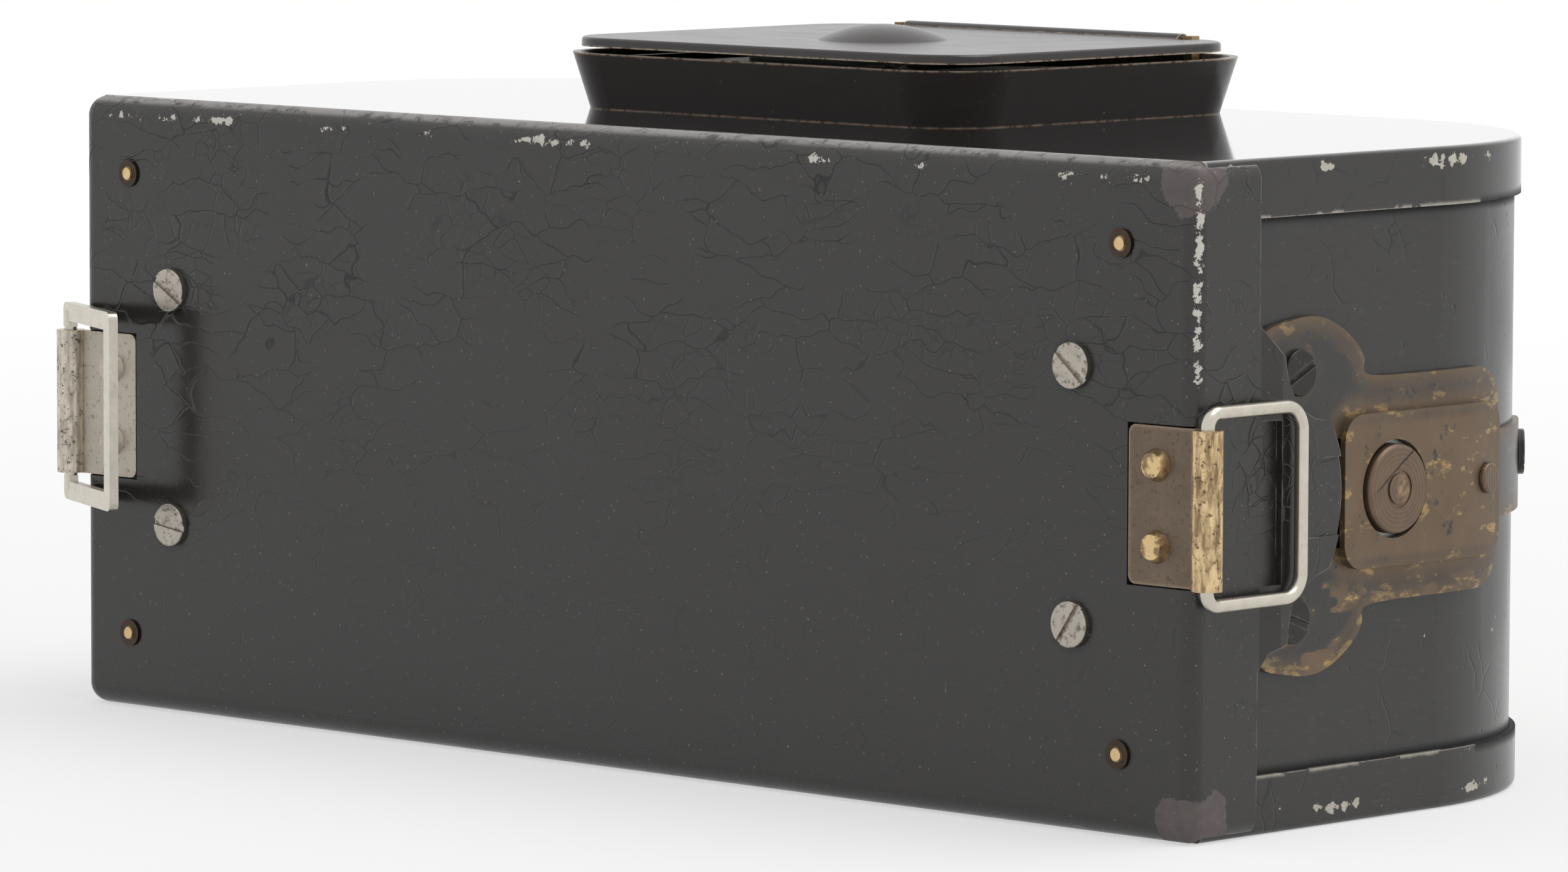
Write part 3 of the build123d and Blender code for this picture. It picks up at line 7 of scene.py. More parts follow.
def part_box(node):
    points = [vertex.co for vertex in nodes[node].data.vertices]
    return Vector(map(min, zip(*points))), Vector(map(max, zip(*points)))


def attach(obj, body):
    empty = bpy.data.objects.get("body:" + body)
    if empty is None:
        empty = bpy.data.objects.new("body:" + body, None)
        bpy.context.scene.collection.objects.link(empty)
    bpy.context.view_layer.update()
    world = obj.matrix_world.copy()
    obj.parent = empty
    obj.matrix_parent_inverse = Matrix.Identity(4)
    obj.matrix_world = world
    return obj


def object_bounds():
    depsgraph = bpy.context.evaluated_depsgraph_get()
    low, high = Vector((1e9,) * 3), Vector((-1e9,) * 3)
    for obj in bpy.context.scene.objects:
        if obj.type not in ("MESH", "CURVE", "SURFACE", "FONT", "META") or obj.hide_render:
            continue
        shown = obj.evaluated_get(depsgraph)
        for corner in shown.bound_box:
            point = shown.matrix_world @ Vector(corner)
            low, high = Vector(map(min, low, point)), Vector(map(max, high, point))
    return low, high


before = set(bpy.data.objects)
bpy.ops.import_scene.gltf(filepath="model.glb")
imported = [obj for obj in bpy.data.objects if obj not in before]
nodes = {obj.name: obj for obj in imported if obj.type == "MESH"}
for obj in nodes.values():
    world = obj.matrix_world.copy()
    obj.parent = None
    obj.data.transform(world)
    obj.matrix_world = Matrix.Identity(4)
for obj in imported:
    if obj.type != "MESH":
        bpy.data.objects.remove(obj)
cad_low, cad_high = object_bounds()
MM = 0.001

# ------------------------------------------------------------------ places read from the frame
cover_low, cover_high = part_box("rear_cover")
lip_low, lip_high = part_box("top_cover")
plate_low, plate_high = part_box("latch_plate_right")
lug_low, lug_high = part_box("lug_plate_right")
button_low, button_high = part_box("latch_button_right")
rivets_low, rivets_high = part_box("cover_rivets")
screws_low, screws_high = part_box("cover_screws")
base_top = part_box("base_cover")[1].z
wall_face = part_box("body_shell")[1].x
back_face = cover_low.y
front_face = lip_high.y - 1.0 * MM


# ------------------------------------------------------------------ camera
FOCAL_LENGTH = 202.84
SENSOR_WIDTH = 36
NEAREST_SEEN = 0.05
FARTHEST_SEEN = 20
CAMERA_PLACE = (0.5767, -0.6109, 0.1088)
CAMERA_TURN = radians(43.75)
CAMERA_TILT = radians(90 - 5.42)
CAMERA_ROLL = radians(0.19)


def place_camera():
    """Long lens behind the object's right-hand corner, a little above it."""
    data = bpy.data.cameras.new("view")
    data.lens = FOCAL_LENGTH
    data.sensor_width = SENSOR_WIDTH
    data.clip_start = NEAREST_SEEN
    data.clip_end = FARTHEST_SEEN
    camera = bpy.data.objects.new("view", data)
    bpy.context.scene.collection.objects.link(camera)
    turn = Matrix.Rotation(CAMERA_TURN, 4, "Z")
    tilt = Matrix.Rotation(CAMERA_TILT, 4, "X")
    roll = Matrix.Rotation(CAMERA_ROLL, 4, "Z")
    camera.matrix_world = Matrix.Translation(CAMERA_PLACE) @ turn @ tilt @ roll
    bpy.context.scene.camera = camera


place_camera()


# ------------------------------------------------------------------ shader arithmetic
class Channel:
    """A number or colour socket that takes part in plain arithmetic."""

    def __init__(self, network, socket):
        self.network = network
        self.socket = socket

    def _math(self, operation, first, second=None):
        values = {0: first}
        if second is not None:
            values[1] = second
        return self.network.node("ShaderNodeMath", {"operation": operation}, values)

    def __add__(self, other):
        return self._math("ADD", self, other)

    __radd__ = __add__

    def __sub__(self, other):
        return self._math("SUBTRACT", self, other)

    def __rsub__(self, other):
        return self._math("SUBTRACT", other, self)

    def __mul__(self, other):
        return self._math("MULTIPLY", self, other)

    __rmul__ = __mul__

    def __truediv__(self, other):
        return self._math("DIVIDE", self, other)

    def __rtruediv__(self, other):
        return self._math("DIVIDE", other, self)

    def __abs__(self):
        return self._math("ABSOLUTE", self)

    def top(self, other):
        return self._math("MAXIMUM", self, other)

    def low(self, other):
        return self._math("MINIMUM", self, other)

    def power(self, exponent):
        return self._math("POWER", self, exponent)

    def sine(self):
        return self._math("SINE", self)


class Network:
    """A node tree and the one way in which nodes are added to it."""

    def __init__(self, tree):
        self.tree = tree

    def node(self, kind, settings, inputs, output=0):
        """Adds a node, sets it up, feeds its sockets and gives back one output."""
        made = self.tree.nodes.new(kind)
        for name, value in settings.items():
            setattr(made, name, value)
        for name, value in inputs.items():
            if isinstance(value, Channel):
                self.tree.links.new(value.socket, made.inputs[name])
            else:
                made.inputs[name].default_value = value
        return Channel(self, made.outputs[output])

    def surface(self, shader, end):
        """Leads a shader to the material's or the world's output."""
        self.tree.links.new(shader.socket, self.tree.nodes[end].inputs["Surface"])


class Finish(Network):
    """A material, its Principled shader and the nodes that feed it."""

    def __init__(self, name, **constants):
        self.material = bpy.data.materials.new(name)
        self.material.use_nodes = True
        super().__init__(self.material.node_tree)
        self.shader = self.tree.nodes["Principled BSDF"]
        for socket, value in constants.items():
            self.shader.inputs[socket.replace("_", " ")].default_value = value

    def feed(self, socket, value):
        self.tree.links.new(value.socket, self.shader.inputs[socket])

    def vector(self, operation, inputs, output=0):
        return self.node("ShaderNodeVectorMath", {"operation": operation}, inputs, output)

    # coordinates, all in metres
    def place(self):
        return self.node("ShaderNodeTexCoord", {}, {}, "Object")

    def stretched(self, scale, rotation=(0, 0, 0), vector=None):
        source = vector or self.place()
        return self.node("ShaderNodeMapping", {}, {"Vector": source, "Scale": scale, "Rotation": rotation})

    def axis(self, letter):
        return self.node("ShaderNodeSeparateXYZ", {}, {"Vector": self.place()}, "XYZ".index(letter))

    # patterns
    def noise(self, size, detail=3.0, roughness=0.5, vector=None, distortion=0.0, output=0):
        """Cloudy pattern whose blobs are about this many millimetres across."""
        values = {"Vector": vector or self.place(), "Scale": 1 / (size * MM)}
        values.update({"Detail": detail, "Roughness": roughness, "Distortion": distortion})
        return self.node("ShaderNodeTexNoise", {}, values, output)

    def cells(self, size, vector=None, feature="DISTANCE_TO_EDGE"):
        """Distance to the nearest border, or centre with F1, of cells this many millimetres wide."""
        values = {"Vector": vector or self.place(), "Scale": 1 / (size * MM)}
        return self.node("ShaderNodeTexVoronoi", {"feature": feature}, values, "Distance")

    def warped(self, amount, size, scale=(1, 1, 1)):
        """Coordinates pushed about by noise, for lines that wander."""
        push = self.noise(size, 2.0, output=1)
        centred = self.vector("SUBTRACT", {0: push, 1: (0.5, 0.5, 0.5)})
        scaled = self.vector("SCALE", {0: centred, "Scale": amount * MM})
        moved = self.vector("ADD", {0: self.place(), 1: scaled})
        return self.stretched(scale, vector=moved)

    def ramp(self, value, low, high, start=0.0, end=1.0):
        """Smooth step from start to end while the value goes from low to high."""
        values = {0: value, 1: low, 2: high, 3: start, 4: end}
        return self.node("ShaderNodeMapRange", {"interpolation_type": "SMOOTHSTEP"}, values)

    def edges(self, reach):
        """1 at sharp edges, falling to 0 at this many millimetres from them."""
        rounded = self.node("ShaderNodeBevel", {"samples": 6}, {"Radius": reach * MM})
        true = self.node("ShaderNodeNewGeometry", {}, {}, "Normal")
        likeness = self.vector("DOT_PRODUCT", {0: rounded, 1: true}, "Value")
        return self.ramp(1 - likeness, 0.02, 0.22)

    def mixed(self, factor, first, second):
        """Colour mix; first and second are colours or channels."""
        values = {"Factor": factor, 6: self._colour(first), 7: self._colour(second)}
        return self.node("ShaderNodeMix", {"data_type": "RGBA"}, values, 2)

    @staticmethod
    def _colour(value):
        return value if isinstance(value, Channel) else (*value, 1.0)

    def bump(self, height, distance, strength):
        values = {"Height": height, "Distance": distance * MM, "Strength": strength}
        return self.node("ShaderNodeBump", {}, values)


def near(finish, letter, level, reach):
    """1 on a plane across an axis, falling to 0 at this many millimetres from it."""
    gap = abs(finish.axis(letter) - level)
    return finish.ramp(gap, 0.0, reach * MM, 1.0, 0.0)


def away(finish, letters, middle):
    """Distance in metres from a line through a point, square to the two axes named."""
    parts = [finish.axis(letter) - at for letter, at in zip(letters, middle)]
    return (parts[0] * parts[0] + parts[1] * parts[1]).power(0.5)


def from_nearest(finish, low, high, radius):
    """Distance in metres from the nearest of four fasteners at the corners of their box."""
    nearest = None
    for x in (low.x + radius, high.x - radius):
        for z in (low.z + radius, high.z - radius):
            reach = away(finish, "XZ", (x, z))
            nearest = reach if nearest is None else nearest.low(reach)
    return nearest


# ------------------------------------------------------------------ finishes
ENAMEL = (0.0225, 0.0196, 0.0172)
PRIMER = (0.62, 0.60, 0.54)
BARE_GREY = (0.070, 0.053, 0.053)
BROWN_BRASS = (0.135, 0.093, 0.058)
YELLOW_BRASS = (0.47, 0.32, 0.13)
# colours of a lug: plate, lighter plate, dark streak and bright streak
LUG_BRASS = ((0.115, 0.082, 0.058), (0.20, 0.15, 0.11), (0.26, 0.17, 0.085), (0.80, 0.60, 0.33))
LUG_NICKEL = ((0.40, 0.36, 0.30), (0.52, 0.47, 0.40), (0.34, 0.30, 0.25), (0.68, 0.62, 0.52))
EYELET_RADIUS = 1.3 * MM
SCREW_RADIUS = 2.1 * MM


def on_back(finish):
    """1 on the rear cover's back face and 0 on its flanges."""
    return finish.ramp(finish.axis("Y"), back_face + 0.3 * MM, back_face + 0.6 * MM, 1.0, 0.0)


def crackled_enamel():
    """Old black enamel of the rear cover: wandering cracks, bare corners, chips along the folds."""
    f = Finish("crackled_enamel", Roughness=0.3, Specular_IOR_Level=0.55)
    z = f.axis("Z")
    lines = f.warped(6.0, 6.5, (0.48, 1.0, 1.5))
    coarse = f.cells(4.2, lines)
    fine = f.cells(2.5, f.warped(2.6, 5.0, (0.8, 1.0, 1.2)))
    upper = f.ramp(z, 0.012, 0.05, 0.25, 1.0)
    broken = f.ramp(f.noise(7.0, 3.0), 0.38, 0.52)
    broken_fine = f.ramp(f.noise(12.0, 2.0, vector=f.stretched((1, 1, 1.3), (0.4, 0, 0.7))), 0.50, 0.64)
    width = f.ramp(f.noise(3.0, 2.0), 0.3, 0.7, 0.014, 0.034)
    crack = f.ramp(coarse / width, 0.0, 1.0, 1.0, 0.0) * broken * upper
    hair = f.ramp(fine, 0.0, 0.045, 1.0, 0.0) * broken_fine * upper * 0.6
    cracks = crack.top(hair)
    lips = f.ramp(coarse, 0.0, 0.10, 1.0, 0.0) * broken * upper
    # folds and corners where the enamel is rubbed off
    fold = near(f, "X", cover_high.x - 0.5 * MM, 1.6) * near(f, "Y", back_face + 0.5 * MM, 1.5)
    top_edge = near(f, "Z", cover_high.z - 1.7 * MM, 1.2) * near(f, "Y", back_face, 1.0)
    speck = f.noise(1.1, 4.0, 0.7)
    patchy = f.noise(9.0, 2.0)
    chips = f.ramp(fold * f.ramp(z, 0.030, 0.046, 0.1, 1.0) * 0.55 + speck, 0.86, 0.9)
    chips = chips.top(f.ramp(top_edge * f.ramp(patchy, 0.44, 0.60) * 0.36 + speck, 0.84, 0.88))
    from_fold = away(f, "XY", (cover_high.x - 1.0 * MM, back_face + 1.0 * MM))
    corner = f.ramp(from_fold, 1.2 * MM, 6.5 * MM, 1.0, 0.0)
    corner_ends = near(f, "Z", cover_high.z, 7.5).top(near(f, "Z", 0.0, 9.0))
    bare = f.ramp(corner * corner_ends + f.noise(4.2, 5.0, 0.65) * 1.25, 1.10, 1.14)
    rim = near(f, "Z", cover_high.z, 0.7).top(near(f, "Z", 0.0, 0.7))
    rim_bare = f.ramp(rim * 0.42 + f.noise(2.6, 4.0, 0.6), 0.74, 0.80)
    # partly painted highlight: a pale broken line along the flanges' edges, partly rubbed paint
    ragged = f.ramp(f.axis("Y"), back_face + 3.0 * MM, back_face + 4.0 * MM) * f.edges(0.22)
    ragged = ragged * f.ramp(f.noise(3.0, 3.0), 0.35, 0.6)
    by_screw = from_nearest(f, screws_low, screws_high, SCREW_RADIUS)
    by_rivet = from_nearest(f, rivets_low, rivets_high, EYELET_RADIUS)
    ring = f.ramp(by_screw, SCREW_RADIUS * 1.05, SCREW_RADIUS * 1.4, 1.0, 0.0)
    ring = ring.top(f.ramp(by_rivet, EYELET_RADIUS, EYELET_RADIUS * 1.3, 1.0, 0.0)) * on_back(f)
    cloud = f.ramp(f.noise(24.0, 3.0), 0.3, 0.7, 0.82, 1.22)
    shade = f.mixed(f.noise(0.6, 2.0), ENAMEL, (0.024, 0.0225, 0.0215))
    colour = f.mixed(cracks * 0.75, shade, (0.0035, 0.0032, 0.003))
    colour = f.mixed(bare.top(rim_bare), colour, f.mixed(f.noise(0.8, 3.0), BARE_GREY, (0.125, 0.105, 0.102)))
    colour = f.mixed(ring * 0.75, colour, (0.003, 0.0027, 0.0025))
    colour = f.mixed(chips, colour, PRIMER)
    # pale flange edges: painted highlight and rubbed paint
    colour = f.mixed(ragged * 0.75, colour, (0.34, 0.31, 0.28))
    seam = near(f, "Z", cover_high.z - 0.3 * MM, 0.45) * f.ramp(f.noise(2.0, 4.0, 0.7), 0.36, 0.52)
    colour = f.mixed(seam * 0.8, colour, (0.27, 0.255, 0.24))
    dust = f.ramp(f.noise(0.35, 1.0), 0.735, 0.76)
    colour = f.mixed(dust * 0.5, colour, (0.3, 0.29, 0.27))
    f.feed("Base Color", colour)
    worn = chips.top(bare)
    f.feed("Roughness", 0.26 * cloud + cracks * 0.35 + worn * 0.3)
    height = 1 - cracks * 0.75 + lips * 0.3 + f.noise(4.0, 4.0, 0.55) * 0.25 - worn * 0.5
    height = height + f.noise(0.5, 2.0) * 0.03
    f.feed("Normal", f.bump(height, 0.09, 0.8))
    return f.material


def beyond(finish, reach, level):
    """1 where a distance passes a level, rising over the last of the way to it."""
    return finish.ramp(reach, level - 1.5 * MM, level)


def on_lip(finish):
    """1 on the outer faces of the covers' lips, 0 on the flat top, the base and the walls."""
    end = beyond(finish, abs(finish.axis("X")), wall_face)
    front = beyond(finish, finish.axis("Y"), front_face)
    return end.top(front)


def body_enamel(name, gloss, chipping, relief):
    """Thinner enamel of the walls and lips, with slanting rubs and chipped edges."""
    f = Finish(name, Roughness=gloss, Specular_IOR_Level=0.5, Coat_Roughness=0.05, Coat_IOR=1.65)
    slant = f.stretched((0.35, 0.35, 1.9), (0.9, 0.3, 0.9))
    streaks = f.noise(1.6, 4.0, 0.6, slant)
    rubs = f.ramp(f.noise(0.9, 5.0, 0.7, f.stretched((0.5, 0.5, 2.6), (0.7, 0.0, 0.8))), 0.60, 0.68)
    pits = f.ramp(f.cells(2.1, f.warped(1.5, 3.0), "F1"), 0.05, 0.16, 1.0, 0.0)
    pits = pits * f.ramp(f.noise(8.0, 2.0), 0.5, 0.62)
    hairs = f.ramp(f.cells(5.0, f.warped(4.0, 6.0, (1, 1, 0.6))), 0.0, 0.03, 1.0, 0.0)
    hairs = hairs * f.ramp(f.noise(9.0, 2.0), 0.52, 0.62)
    edge = f.edges(0.9)
    fine_edge = f.edges(0.3)
    speck = f.noise(1.2, 4.0, 0.7)
    patchy = f.ramp(f.noise(7.0, 3.0), 0.40, 0.58)
    chips = f.ramp(edge * patchy * chipping + speck, 0.74, 0.78)
    chips = chips.top(f.ramp(fine_edge * chipping + f.noise(0.8, 3.0), 0.84, 0.90) * 0.8)
    strays = f.ramp(f.noise(2.2, 5.0, 0.65, f.stretched((1, 1, 0.6))), 0.715, 0.735)
    strays = strays * f.ramp(f.axis("X"), 0.03, 0.06)
    rolled = near(f, "Z", lip_high.z - 1.2 * MM, 1.5).top(near(f, "Z", 1.6 * MM, 1.3)) * on_lip(f)
    chips = chips.top(f.ramp(rolled * patchy * 0.34 + f.noise(1.5, 4.0, 0.7), 0.80, 0.83))
    wear = chips.top(strays)
    # painted shade: a dark band on the walls just under the top cover's lip and just above the base cover
    under_lip = near(f, "Z", lip_low.z, 1.1).top(near(f, "Z", base_top, 1.1))
    on_wall = f.ramp(abs(f.axis("X")), wall_face + 0.05 * MM, wall_face + 0.15 * MM, 1.0, 0.0)
    darkening = under_lip * on_wall
    shade = f.mixed(f.noise(0.7, 2.0), ENAMEL, (0.026, 0.024, 0.023))
    colour = f.mixed(streaks * 0.35, shade, (0.034, 0.032, 0.030))
    colour = f.mixed(rubs * (gloss * 1.6), colour, (0.06, 0.056, 0.052))
    colour = f.mixed(f.ramp(edge + f.noise(2.0, 3.0) * 0.6, 0.7, 0.95) * 0.45, colour, BARE_GREY)
    colour = f.mixed(hairs.top(pits) * 0.6, colour, (0.004, 0.0038, 0.0035))
    colour = f.mixed(wear, colour, f.mixed(f.noise(0.8, 2.0), PRIMER, (0.42, 0.37, 0.28)))
    # painted shade under the lip and above the base, on the walls only
    colour = f.mixed(darkening, colour, (0.002, 0.0018, 0.0016))
    f.feed("Base Color", colour)
    rough = f.ramp(f.noise(14.0, 3.0), 0.3, 0.7, gloss * 0.75, gloss * 1.2)
    f.feed("Roughness", rough + wear * 0.35 + darkening * 0.5)
    f.feed("Coat Weight", f.ramp(f.axis("Z"), cover_high.z - 0.3 * MM, cover_high.z - 0.05 * MM))
    height = streaks * 0.35 + f.noise(5.0, 3.0) * 0.5 - pits * 0.8
    height = height - hairs * 0.5 - wear * 0.35 + rubs * 0.2
    f.feed("Normal", f.bump(height, 0.07, relief))
    return f.material


def hood_enamel():
    """Brown-black enamel of the hood, rubbed through to brass along its rims."""
    f = Finish("hood_enamel", Roughness=0.22, Specular_IOR_Level=0.55)
    edge = f.edges(0.45)
    speck = f.noise(1.4, 4.0, 0.65)
    rubbed = f.ramp(edge * 0.45 + speck, 0.66, 0.78)
    bright = f.ramp(edge * 0.35 + f.noise(0.9, 3.0, 0.7), 0.74, 0.82)
    # painted highlight: lighter horizontal streaks across the hood's walls; the same streaks also vary
    # roughness and bumps
    streaks = f.noise(1.2, 3.0, 0.6, f.stretched((0.25, 0.25, 2.0)))
    shade = f.mixed(streaks * 0.5, (0.015, 0.0105, 0.0100), (0.034, 0.024, 0.021))
    colour = f.mixed(rubbed * 0.8, shade, (0.19, 0.115, 0.06))
    colour = f.mixed(bright, colour, (0.60, 0.50, 0.38))
    f.feed("Base Color", colour)
    f.feed("Roughness", 0.2 + rubbed * 0.25 + streaks * 0.1)
    f.feed("Metallic", rubbed * 0.6)
    f.feed("Normal", f.bump(streaks * 0.3 + f.noise(3.0, 3.0) * 0.5, 0.06, 0.6))
    return f.material


# raised channel along the middle of a latch plate
CHANNEL_HALF = 5.6 * MM
CHANNEL_START = back_face + 19.5 * MM
CHANNEL_END = back_face + 42.2 * MM


def latch_brass():
    """Brown brass of the latch plates with the black paint that is left on them."""
    f = Finish("latch_brass", Metallic=0.0, Roughness=0.42)
    edge = f.edges(1.5)
    wide_edge = f.edges(3.4)
    rough_edge = f.noise(3.0, 6.0, 0.7)
    border = f.ramp(edge * 0.42 + wide_edge * 0.30 + rough_edge, 0.66, 0.672)
    middle = (plate_low.z + plate_high.z) / 2
    channel = f.ramp(abs(f.axis("Z") - middle), CHANNEL_HALF, CHANNEL_HALF + 1.0 * MM, 1.0, 0.0)
    start = f.ramp(f.axis("Y"), CHANNEL_START, CHANNEL_START + 0.7 * MM)
    end = f.ramp(f.axis("Y"), CHANNEL_END, CHANNEL_END + 0.8 * MM, 1.0, 0.0)
    channel = channel * start * end
    specks = f.ramp(f.noise(1.6, 4.0, 0.6), 0.62, 0.66)
    bared = border.top(channel * (1 - specks))
    belly = f.ramp(f.noise(5.5, 3.0, 0.55, f.stretched((1, 0.6, 1.5))), 0.56, 0.60)
    lower = f.ramp(f.axis("Z"), middle - 9.5 * MM, middle - 7 * MM, 1.0, 0.0)
    bared = bared.top(belly * lower)
    rubbing = f.noise(2.4, 4.0, 0.65, f.stretched((1, 0.7, 1.6)))
    shine = f.ramp(rubbing + edge * 0.05 + lower * 0.07, 0.60, 0.68)
    brass = f.mixed(f.noise(3.5, 4.0), BROWN_BRASS, (0.205, 0.145, 0.095))
    brass = f.mixed(shine * 0.75, brass, YELLOW_BRASS)
    paint = f.mixed(f.noise(0.9, 3.0), (0.021, 0.020, 0.019), (0.036, 0.033, 0.030))
    f.feed("Base Color", f.mixed(bared, paint, brass))
    f.feed("Metallic", bared * 0.62)
    f.feed("Roughness", 0.30 + bared * 0.16 - shine * 0.06)
    rub = f.noise(0.8, 3.0, 0.6, f.stretched((1, 0.3, 1)))
    pocks = f.ramp(f.cells(1.9, feature="F1"), 0.08, 0.2, 1.0, 0.0) * (1 - bared)
    f.feed("Normal", f.bump(rub * 0.18 - bared * 0.45 - pocks * 0.5, 0.06, 0.7))
    return f.material


def lug_metal(name, plain, lighter, dark_streak, light_streak):
    """Plate of a strap lug, bright where the bail rubs."""
    f = Finish(name, Metallic=0.75, Roughness=0.4)
    edge = f.edges(0.8)
    outward = f.ramp(abs(f.axis("X")), lug_high.x - 3.6 * MM, lug_high.x - 2.6 * MM)
    darkening = f.ramp(f.noise(0.55, 3.0, 0.7), 0.55, 0.66)
    plate = f.mixed(f.noise(2.5, 4.0), plain, lighter)
    streak = f.ramp(f.noise(1.0, 4.0, 0.65, f.stretched((1.6, 1.6, 0.35))), 0.35, 0.65)
    bright = f.mixed(streak, dark_streak, light_streak)
    colour = f.mixed(outward * 0.95, plate, bright)
    colour = f.mixed(edge * 0.35, colour, (0.52, 0.40, 0.26))
    colour = f.mixed(darkening * (0.25 + outward * 0.55), colour, (0.05, 0.034, 0.022))
    f.feed("Base Color", colour)
    f.feed("Roughness", 0.42 - outward * 0.12 + darkening * 0.15)
    f.feed("Normal", f.bump(f.noise(0.7, 3.0) * 0.4 - darkening * 0.3, 0.04, 0.6))
    return f.material


def rivet_brass():
    """Hammered rivet heads, yellow on the crowns and dark round the feet."""
    f = Finish("rivet_brass", Metallic=0.85, Roughness=0.32)
    spots = f.noise(1.0, 3.0, 0.6)
    crown = f.ramp(f.axis("Y"), back_face - 0.8 * MM, back_face - 0.15 * MM, 1.0, 0.0)
    colour = f.mixed(spots, (0.17, 0.12, 0.075), (0.40, 0.27, 0.13))
    colour = f.mixed(crown * f.ramp(spots, 0.40, 0.55), colour, (0.72, 0.53, 0.27))
    nickelled = f.mixed(spots, (0.30, 0.26, 0.21), (0.62, 0.56, 0.47))
    colour = f.mixed(f.ramp(f.axis("X"), -MM, MM), nickelled, colour)
    f.feed("Base Color", colour)
    f.feed("Roughness", 0.25 + spots * 0.3)
    facets = f.cells(0.95, feature="F1")
    f.feed("Normal", f.bump(facets * 0.6 + f.noise(0.5, 2.0) * 0.2, 0.12, 0.7))
    return f.material


def nickel(name, tint, rough, grime_share):
    """Yellowed nickel plate with grime in its hollows."""
    f = Finish(name, Metallic=1.0, Roughness=rough)
    worn = f.noise(1.4, 4.0, 0.65)
    darkening = f.ramp(f.noise(0.6, 4.0, 0.7), 0.60 - grime_share * 0.14, 0.70)
    darker = tuple(part * 0.72 for part in tint)
    colour = f.mixed(worn, tint, darker)
    colour = f.mixed(darkening * grime_share, colour, (0.09, 0.07, 0.052))
    f.feed("Base Color", colour)
    f.feed("Roughness", rough + worn * 0.12 + darkening * grime_share * 0.3)
    f.feed("Normal", f.bump(f.noise(0.5, 3.0) * 0.4 - darkening * 0.3, 0.02, 0.6))
    return f.material


# marks on a thumb button
RING_PITCH = 0.42 * MM
CUT_OFFSET = 1.3 * MM
CUT_HALF = 0.16 * MM


def button_brass():
    """Thumb buttons with the turning marks of the lathe and one cut across the upper half."""
    f = Finish("button_brass", Metallic=0.7, Roughness=0.4)
    middle = ((button_low.y + button_high.y) / 2, (button_low.z + button_high.z) / 2)
    reach = away(f, "YZ", middle) + f.noise(2.0, 2.0) * 0.3 * MM
    rings = (reach * (2 * pi / RING_PITCH)).sine() * 0.5 + 0.5
    age = f.noise(1.8, 4.0, 0.6)
    core = f.ramp(reach, 0.6 * MM, 2.4 * MM, 1.0, 0.0)
    colour = f.mixed(age, (0.10, 0.068, 0.045), (0.20, 0.14, 0.098))
    colour = f.mixed(core * f.ramp(age, 0.42, 0.6) * 0.7, colour, (0.50, 0.33, 0.18))
    colour = f.mixed(rings * 0.22, colour, (0.30, 0.21, 0.14))
    slope = (f.axis("Y") - middle[0]) * 0.55 - (f.axis("Z") - middle[1]) * 0.84
    slope = slope + f.noise(2.5, 2.0) * 0.8 * MM
    side = f.ramp(f.axis("Z"), middle[1] - 0.4 * MM, middle[1] + 0.4 * MM)
    cut = f.ramp(abs(slope + CUT_OFFSET), 0.0, CUT_HALF, 1.0, 0.0) * side
    colour = f.mixed(cut * 0.8, colour, (0.012, 0.009, 0.007))
    f.feed("Base Color", colour)
    f.feed("Roughness", 0.34 + age * 0.15 + cut * 0.2)
    f.feed("Normal", f.bump(rings * 0.5 - cut * 0.8, 0.05, 0.7))
    return f.material


def eyelet_brass():
    """Rivets of the rear cover: a bright worn eye in a dark ring."""
    f = Finish("eyelet_brass", Metallic=0.8, Roughness=0.32)
    nearest = from_nearest(f, rivets_low, rivets_high, EYELET_RADIUS)
    ragged = nearest + f.noise(0.7, 3.0) * 0.25 * MM
    eye = f.ramp(ragged, EYELET_RADIUS * 0.45, EYELET_RADIUS * 0.66, 1.0, 0.0)
    age = f.noise(0.8, 3.0)
    bright = f.mixed(age, (0.55, 0.36, 0.16), (0.85, 0.66, 0.38))
    f.feed("Base Color", f.mixed(eye, f.mixed(age, (0.03, 0.021, 0.015), (0.085, 0.058, 0.04)), bright))
    f.feed("Roughness", 0.3 + age * 0.12)
    f.feed("Normal", f.bump(age * 0.4 + eye * 0.3, 0.04, 0.6))
    return f.material


def turned_brass(name, dark, light, rough):
    """Lathe-turned brass, browned with age."""
    f = Finish(name, Metallic=0.85, Roughness=rough)
    age = f.noise(2.2, 4.0, 0.6)
    colour = f.mixed(age, dark, light)
    colour = f.mixed(f.edges(0.4) * 0.4, colour, YELLOW_BRASS)
    f.feed("Base Color", colour)
    f.feed("Roughness", rough + age * 0.15)
    f.feed("Normal", f.bump(f.noise(0.4, 3.0) * 0.5, 0.02, 0.6))
    return f.material


def plain_steel(name, tint, rough):
    """Brushed steel with brown stains."""
    f = Finish(name, Metallic=1.0, Roughness=rough)
    lines = f.noise(0.5, 3.0, 0.6, f.stretched((0.3, 1, 1)))
    stain = f.ramp(f.noise(3.0, 4.0, 0.6), 0.5, 0.7)
    colour = f.mixed(lines, tint, tuple(part * 0.7 for part in tint))
    f.feed("Base Color", f.mixed(stain * 0.4, colour, (0.10, 0.07, 0.045)))
    f.feed("Roughness", rough + lines * 0.15)
    f.feed("Normal", f.bump(lines, 0.01, 0.5))
    return f.material


def black_screw():
    """Blackened screw heads, rubbed grey on the crowns."""
    f = Finish("black_screw", Metallic=0.4, Roughness=0.3)
    rub = f.ramp(f.edges(0.35) * 0.4 + f.noise(0.8, 3.0), 0.6, 0.8)
    f.feed("Base Color", f.mixed(rub, (0.022, 0.019, 0.017), (0.10, 0.082, 0.07)))
    f.feed("Roughness", 0.28 + rub * 0.15)
    f.feed("Normal", f.bump(f.noise(0.6, 3.0), 0.03, 0.5))
    return f.material


